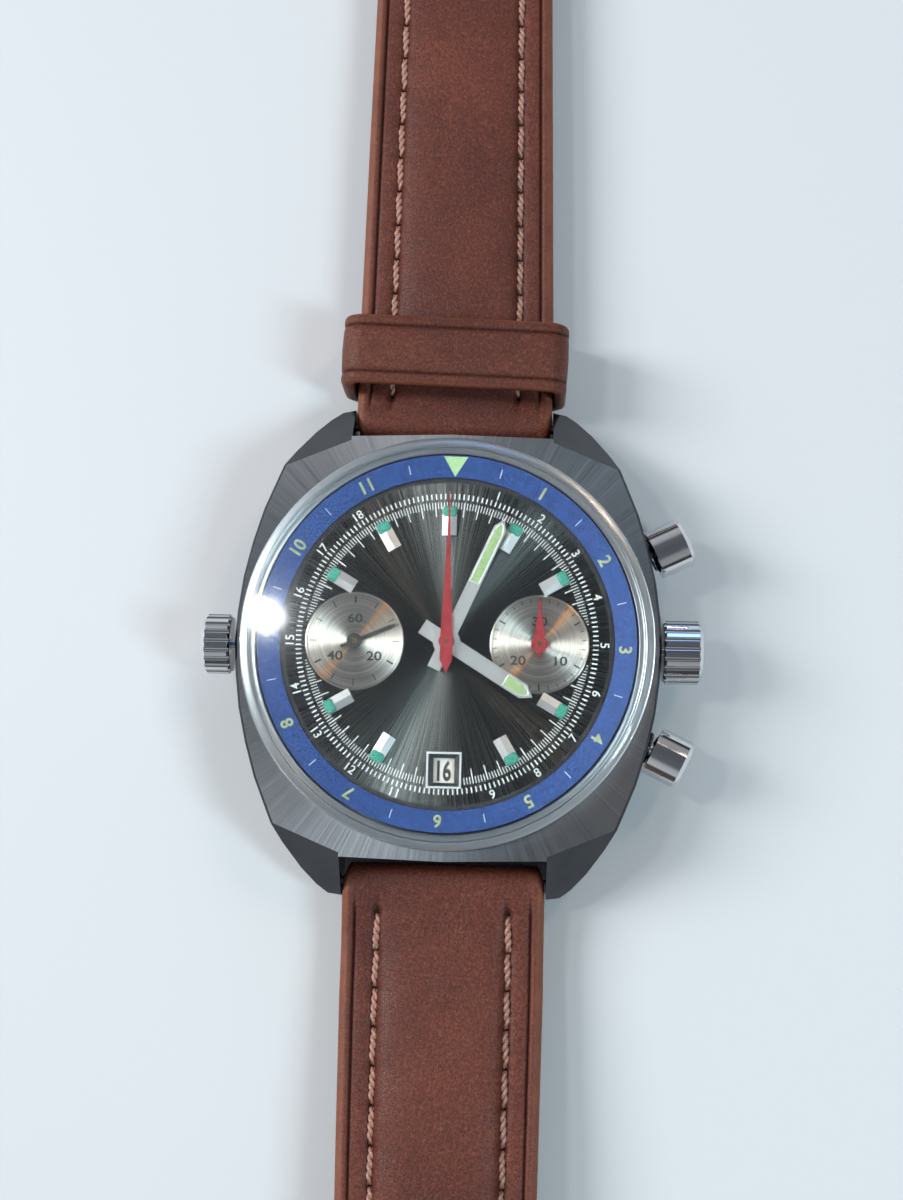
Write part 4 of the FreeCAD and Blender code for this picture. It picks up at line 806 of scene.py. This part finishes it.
class StrapHalf:
    """One strap half: its outlines, and the padded section across it."""

    def __init__(self, side, top, low, wide, crown, stitches):
        self.side, self.top, self.low, self.wide, self.crown = side, top, low, wide, crown
        self.count = stitches
        self.first, self.last = FIRST_STITCH, FIRST_STITCH + stitches * STITCH
        self.end = top[-1][0]

    def across(self, d):
        """The width at a distance from the bar, as a part of the full width."""
        return float(np.interp(d, *zip(*self.wide))) / STRAP_W

    def levels(self, d):
        """Top of the panel, underside and crown height at a distance from the bar."""
        if d < 0:
            rise = math.sqrt(max(ROLL_R ** 2 - d ** 2, 0.0))
            return BAR.z + rise, BAR.z - rise, 0.0
        reach = 2.5 * min(1.0, d / 3.0, max(self.end - d, 0.0) / 3.0)
        crown = eased(self.crown, d, 2.0 * min(1, d / 3))
        return eased(self.top, d, reach), eased(self.low, d, reach), crown

    def stitched(self, d):
        """How far the seams and creases are formed, from 0 to 1."""
        run_in = 1.6
        starting = np.clip((d - self.first + run_in) / run_in, 0, 1)
        ending = np.clip((self.last + run_in - d) / run_in, 0, 1)
        return float(min(starting, ending))

    def hole(self, d):
        """1 at a stitch hole, falling to 0 between two holes."""
        past, spread = 0.6, 0.42
        if not self.first - past < d < self.last + past:
            return 0.0
        off = (d - self.first + STITCH / 2) % STITCH - STITCH / 2
        return math.exp(-(off / spread) ** 2)

    def height(self, x, d):
        """The top surface at x, given for the full width, and a distance from the bar."""
        top, _, crown = self.levels(d)
        x = abs(x)
        seam, hole = self.stitched(d), self.hole(d)
        pad = SEAM_X - 0.12
        z = top - crown
        if x < pad:
            z += crown * (1 - (x / pad) ** 3.2) ** 0.5
        z -= seam * (0.30 + 0.25 * hole) * math.exp(-((x - SEAM_X) / 0.30) ** 2)
        z -= seam * 0.08 * hole * math.exp(-((x - SEAM_X) / 0.9) ** 2)
        z -= seam * 0.26 * math.exp(-((x - CREASE_X) / 0.11) ** 2)
        if SEAM_X < x < CREASE_X:
            z += 0.10 * seam * math.sin(math.pi * (x - SEAM_X) / (CREASE_X - SEAM_X))
        if x > CREASE_X:
            across = (x - CREASE_X) / (STRAP_W - CREASE_X)
            z += 0.12 * seam * math.sin(math.pi * min(across * 1.4, 1.0))
        if x > STRAP_W - EDGE_ROUND:
            over = (x - STRAP_W + EDGE_ROUND) / EDGE_ROUND
            z -= 0.55 * (1 - math.sqrt(max(1 - over ** 2, 0.0)))
        return z

    def section(self, d):
        """One ring round the strap, with each point's painted seam shade and its wear."""
        positions = [0, 0.9, 1.8, 2.7, 3.5, 4.1, 4.55, 4.9, 5.12, 5.28, 5.4, 5.5, 5.6, 5.7, 5.8, 5.9, 6.02,
                     6.2, 6.6, 7.0, 7.3, 7.48, 7.58, 7.66, CREASE_X, 7.78, 7.86, 7.97, 8.2, 8.42, 8.6, 8.74,
                     8.84, STRAP_W]
        size, end = self.across(d), 1.0
        tucked = 0.6                # from here to the bar the strap narrows between the lugs
        if d < tucked:
            end -= 0.075 * (1 - (d + ROLL_R) / (ROLL_R + tucked)) ** 2
        top, low, _ = self.levels(d)
        thick = max(top - low, 0.02)
        ring, seam_shades, wears = [], [], []

        def put(x, z, seam, wear):
            ring.append((x * size * end, self.side * (BAR.y + d), z))
            seam_shades.append(seam)
            wears.append(wear)

        def level(x):
            """The top surface, or near the strap's end, where it is thin, the plain thickness."""
            return max(self.height(x, d), low + 0.3 * thick) if thick > 0.5 else low + thick

        formed, hole = self.stitched(d), self.hole(d)
        for x in [-p for p in reversed(positions[1:])] + positions:
            a = abs(x)
            # painted shade in the stitch groove, deeper at the holes, and in the crease line
            groove = math.exp(-((a - SEAM_X) / 0.22) ** 2) * (0.45 + 0.55 * hole)
            crease = 0.8 * math.exp(-((a - CREASE_X) / 0.09) ** 2)
            worn = 0.75 * float(a > 8.3) + 0.25 * float(a > CREASE_X + 0.1)
            put(x, level(x), formed * max(groove, crease), worn)
        wall = level(STRAP_W)
        under = 0.12                # how far in from the wall the underside starts
        for part in (0.6, 0.3, 0.12):
            put(STRAP_W, low + (wall - low) * part, 0.25, 0.1)
        put(STRAP_W - under, low + 0.02 * thick, 0.2, 0)
        for x in (8.5, 6.5, 4.5, 2.2, 0, -2.2, -4.5, -6.5, -8.5):
            put(x, low, 0.0, 0.3)
        put(-STRAP_W + under, low + 0.02 * thick, 0.2, 0)
        for part in (0.12, 0.3, 0.6):
            put(-STRAP_W, low + (wall - low) * part, 0.25, 0.1)
        return ring, seam_shades, wears

    def build(self, name):
        """The leather: sections closer together round the bar, and ten to a stitch along the strap."""
        roll = 9
        distances = [-ROLL_R * math.cos(math.pi / 2 * n / roll) for n in range(roll)]
        distances[0] = -ROLL_R + 0.004
        pitch = STITCH / 10
        count = int(self.end / pitch)
        distances += [self.end * n / count for n in range(count)]
        distances += [self.end - 0.08, self.end - 0.02]
        rings, seam_shades, wears = [], [], []
        for d in sorted(distances):
            ring, seam, wear = self.section(d)
            rings.append(ring)
            seam_shades += seam
            wears += wear
        points, faces = rings_mesh(rings)
        return build_mesh(name, points, faces, STRAP_LEATHER, attributes={"seam": seam_shades, "wear": wears})

    def stitches(self, name):
        """Two-ply waxed thread, dipping into a hole between one stitch and the next."""
        gathered = Gather()
        for edge in (-1, 1):
            for n in range(self.count):
                for ply in (0, math.pi):
                    path = self.stitch_path(self.first + n * STITCH, edge, ply)
                    gathered.add(*rings_mesh(tube_rings(path, radius=0.185, sides=8)))
        return build_mesh(name, gathered.points, gathered.faces, thread())

    def stitch_path(self, start, edge, ply):
        """The middle of one ply, which winds about the stitch's slanting arch."""
        steps, lay, turns = 22, 0.155, 2.1
        gap, slant, depth, arch = 0.16, 0.16, 0.30, 0.58
        base = self.height(SEAM_X, start + STITCH / 2)
        path = []
        for k in range(steps + 1):
            t = k / steps
            d = start + gap + (STITCH - 2 * gap) * t
            rise = math.sin(math.pi * t) ** 0.45
            twist = ply + 2 * math.pi * turns * t * edge
            x = edge * SEAM_X * self.across(d) + slant * (t - 0.5) * edge + lay * math.cos(twist)
            z = base - depth + arch * rise + lay * math.sin(twist) * min(1, rise * 1.3)
            path.append(Vector((x, self.side * (BAR.y + d), z)))
        return path


def cut_out(piece, cutter):
    """Cuts one mesh out of another for good."""
    cut = piece.modifiers.new("cut", "BOOLEAN")
    cut.operation, cut.solver, cut.object = "DIFFERENCE", "EXACT", cutter
    bpy.context.view_layer.update()
    graph = bpy.context.evaluated_depsgraph_get()
    mesh = bpy.data.meshes.new_from_object(piece.evaluated_get(graph))
    piece.modifiers.clear()
    piece.data = mesh
    bpy.data.objects.remove(cutter)


def strap_holes(piece):
    """Seven round holes along the middle of the tail half."""
    count, pitch, from_tip, radius, sides = 7, 7.0, 24.0, 0.9, 24
    tip = -(BAR.y + TAIL_TOP[-1][0])
    gathered = Gather()
    for n in range(count):
        y = tip + from_tip + pitch * n
        outline = [(radius * math.cos(t), y + radius * math.sin(t))
                   for t in (2 * math.pi * k / sides for k in range(sides))]
        gathered.add(*rings_mesh([[(*point, z) for point in outline] for z in CUT_LEVELS]))
    cut_out(piece, build_mesh("cutter", gathered.points, gathered.faces, STRAP_LEATHER))


def tongue_slot(piece):
    """A slot for the buckle's tongue, open at the strap's end."""
    half, nose, past_end = 1.5, 92.4, 99.0
    outline = [(-half, past_end), (-half, 93.6), (-1.1, 92.8), (0, nose), (1.1, 92.8), (half, 93.6),
               (half, past_end)]
    rings = [[(x, y, z) for x, y in outline] for z in CUT_LEVELS]
    points, faces = rings_mesh(rings)
    cut_out(piece, build_mesh("cutter", points, faces, STRAP_LEATHER))


def loop_path(low, high, corner):
    """A rounded rectangle round the strap, its points as (x, z, outward x, outward z)."""
    half, bend, straight = high.x, 10, 14
    corners = [(half - corner, high.z - corner, 0), (-half + corner, high.z - corner, 90),
               (-half + corner, low.z + corner, 180), (half - corner, low.z + corner, 270)]
    path = []
    for cx, cz, start in corners:
        for k in range(bend + 1):
            a = math.radians(start + 90 / bend * k)
            path.append((cx + corner * math.cos(a), cz + corner * math.sin(a), math.cos(a), math.sin(a)))
        if start in (0, 180):
            way, level = (1.0, high.z) if start == 0 else (-1.0, low.z)
            for k in range(1, straight):
                path.append((cx - 2 * (half - corner) * k / straight * way, level, 0.0, way))
    return path


def keeper(name, node, body, tilt):
    """A leather loop in the CAD keeper's place: rounded edges and two embossed lines."""
    low, high = (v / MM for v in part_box(node))
    corner, wall, line = 1.9, 1.0, 1.05
    path = loop_path(low, high, corner)
    middle_y, width = (low.y + high.y) / 2, high.y - low.y
    outer = [(0.0, 0.62), (0.02, 0.38), (0.12, 0.14), (0.34, 0.0), (0.7, -0.02), (line - 0.16, 0.01),
             (line - 0.06, 0.19), (line, 0.27), (line + 0.06, 0.19), (line + 0.16, 0.02),
             (line + 0.5, -0.03)]
    section = outer + [(width / 2, -0.08)] + [(width - y, h) for y, h in reversed(outer)]
    section += [(width - 0.12, wall), (width * 0.7, wall + 0.02), (width * 0.3, wall + 0.02), (0.12, wall)]
    rings, seam_shades, wears = [], [], []
    turn = math.radians(tilt)
    for x, z, nx, nz in path:
        ring = []
        for y, depth in section:
            px, pz = x - nx * depth, z - nz * depth
            py = low.y + y - middle_y
            ring.append((px * math.cos(turn) - py * math.sin(turn),
                         middle_y + px * math.sin(turn) + py * math.cos(turn), pz))
            off = min(abs(y - line), abs(y - width + line))
            # painted shade in the embossed lines and on the loop's inner faces
            seam_shades.append(0.75 * math.exp(-(off / 0.07) ** 2) if depth < wall / 2 else 0.2)
            wears.append(0.7 if min(y, width - y) < 0.3 else 0.0)
        rings.append(ring)
    points, faces = rings_mesh(rings, wrap=True)
    piece = build_mesh(name, points, faces, KEEPER_LEATHER, attributes={"seam": seam_shades, "wear": wears})
    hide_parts(node)
    place(piece, body)


def strap():
    """Both halves with their stitching, and the two keepers."""
    buckle = StrapHalf(1, BUCKLE_TOP, BUCKLE_LOW, BUCKLE_WIDE, BUCKLE_CROWN, BUCKLE_STITCHES)
    tail = StrapHalf(-1, TAIL_TOP, TAIL_LOW, TAIL_WIDE, TAIL_CROWN, TAIL_STITCHES)
    for half, node, cut in ((buckle, "strap_buckle_side", tongue_slot),
                            (tail, "strap_tail_side", strap_holes)):
        piece = half.build(node + "_leather")
        cut(piece)
        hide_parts(node)
        place(piece, node)
        place(half.stitches(node + "_stitching"), node)
    keeper("free_keeper_leather", "free_keeper", "free_keeper", -2.0)
    keeper("fixed_keeper_leather", "fixed_keeper", "strap_buckle_side", 0.0)


dial_print()
small_dials()
ring_print()
lume_blocks()
# Each window: where it starts and ends along the hand, its width, and the length of its point.
for hand, degrees, *window in (("hour_hand", HOUR_ANGLE, 6.1, 8.3, 0.94, 0.75),
                               ("minute_hand", MINUTE_ANGLE, 5.7, 11.25, 0.74, 0.7)):
    hand_fill(hand, degrees, *window)
    hand_rim(hand, degrees, *window)
date_numbers()
date_margin()
# a black ring painted on the dial as the turning ring's shadow
dial_border()
crystal_dome()
crystal_seat()
strap()


# ---------------------------------------- floor and lights
LIGHT_AIM = (0.0, 0.0, 8.0)
CAMERA_AT = (6.28, -19.43, 164.73)
CAMERA_TILT = (8.524, 2.016, 1.067)         # about the x, y and z axes, y first and z last


def floor():
    """A plain pale floor, just under the watch."""
    look = Look("floor", Roughness=0.6)
    drift = look.noise(look.place, 6.0, 2.0)
    look.set("Base Color", look.ramp(drift, (0.3, (0.68, 0.68, 0.68)), (0.7, (0.71, 0.71, 0.71))))
    half, z = 4000.0, -0.02
    points = [(-half, -half, z), (half, -half, z), (half, half, z), (-half, half, z)]
    build_mesh("floor", points, [(0, 1, 2, 3)], look.material, smooth=False)


def softbox(name, at, size, watts, colour, shape="RECTANGLE"):
    """An area light that faces the dial."""
    lamp = bpy.data.lights.new(name, "AREA")
    lamp.shape = shape
    lamp.size, lamp.size_y = size[0] * MM, size[1] * MM
    lamp.energy = watts
    lamp.color = colour
    holder = bpy.data.objects.new(name, lamp)
    holder.location = Vector(at) * MM
    holder.rotation_euler = (Vector(LIGHT_AIM) - Vector(at)).to_track_quat("-Z", "Y").to_euler()
    bpy.context.scene.collection.objects.link(holder)


def sky():
    """A dim room: bright walls part of the way up, and more light from the left."""
    world = bpy.data.worlds.new("studio")
    world.use_nodes = True
    tree = world.node_tree
    at = tree.nodes.new("ShaderNodeTexCoord").outputs["Generated"]
    parts = tree.nodes.new("ShaderNodeSeparateXYZ")
    tree.links.new(at, parts.inputs[0])
    ramp = tree.nodes.new("ShaderNodeValToRGB")
    tree.links.new(parts.outputs[2], ramp.inputs[0])
    stops = ((0.0, (0.10, 0.095, 0.09)), (0.22, (0.12, 0.12, 0.12)), (0.36, (0.80, 0.84, 0.88)),
             (0.70, (0.66, 0.70, 0.74)), (0.86, (0.21, 0.235, 0.27)), (1.0, (0.19, 0.21, 0.24)))
    for _ in stops[2:]:
        ramp.color_ramp.elements.new(0.5)
    for element, (position, colour) in zip(ramp.color_ramp.elements, stops):
        element.position, element.color = position, (*colour, 1)
    tree.links.new(ramp.outputs[0], tree.nodes["Background"].inputs["Color"])
    side = tree.nodes.new("ShaderNodeMapRange")
    for socket, value in zip(side.inputs[1:5], (-0.8, 0.8, 0.78, 0.34)):
        socket.default_value = value
    tree.links.new(parts.outputs[0], side.inputs[0])
    tree.links.new(side.outputs[0], tree.nodes["Background"].inputs["Strength"])
    bpy.context.scene.world = world


def camera():
    """Above the watch and a little below its centre, looking almost straight down."""
    eye = bpy.data.cameras.new("camera")
    eye.sensor_fit = "VERTICAL"
    eye.sensor_height = 36.0
    eye.lens = 54.12
    eye.clip_start = 0.005
    holder = bpy.data.objects.new("camera", eye)
    x, y, z = (Matrix.Rotation(math.radians(a), 4, axis) for a, axis in zip(CAMERA_TILT, "XYZ"))
    holder.matrix_world = Matrix.Translation(Vector(CAMERA_AT) * MM) @ (z @ x @ y)
    bpy.context.scene.collection.objects.link(holder)
    bpy.context.scene.camera = holder


floor()
softbox("window_left", (-540.0, 126.0, 423.0), (190.0, 340.0), 3.9, (0.92, 0.97, 1.0))
softbox("window_high", (-194.0, 73.0, 378.0), (29.0, 46.0), 0.19, (0.94, 0.98, 1.0), "ELLIPSE")
softbox("right_blue", (326.0, -132.0, 387.0), (75.0, 180.0), 1.15, (0.66, 0.88, 1.0))
softbox("sky_back", (60.0, 495.0, 285.0), (225.0, 90.0), 0.20, (0.18, 0.42, 1.0))
softbox("warm_back", (262.0, 312.0, 450.0), (70.0, 135.0), 0.36, (1.0, 0.78, 0.60))
sky()
camera()
bpy.context.scene.view_settings.view_transform = "Standard"
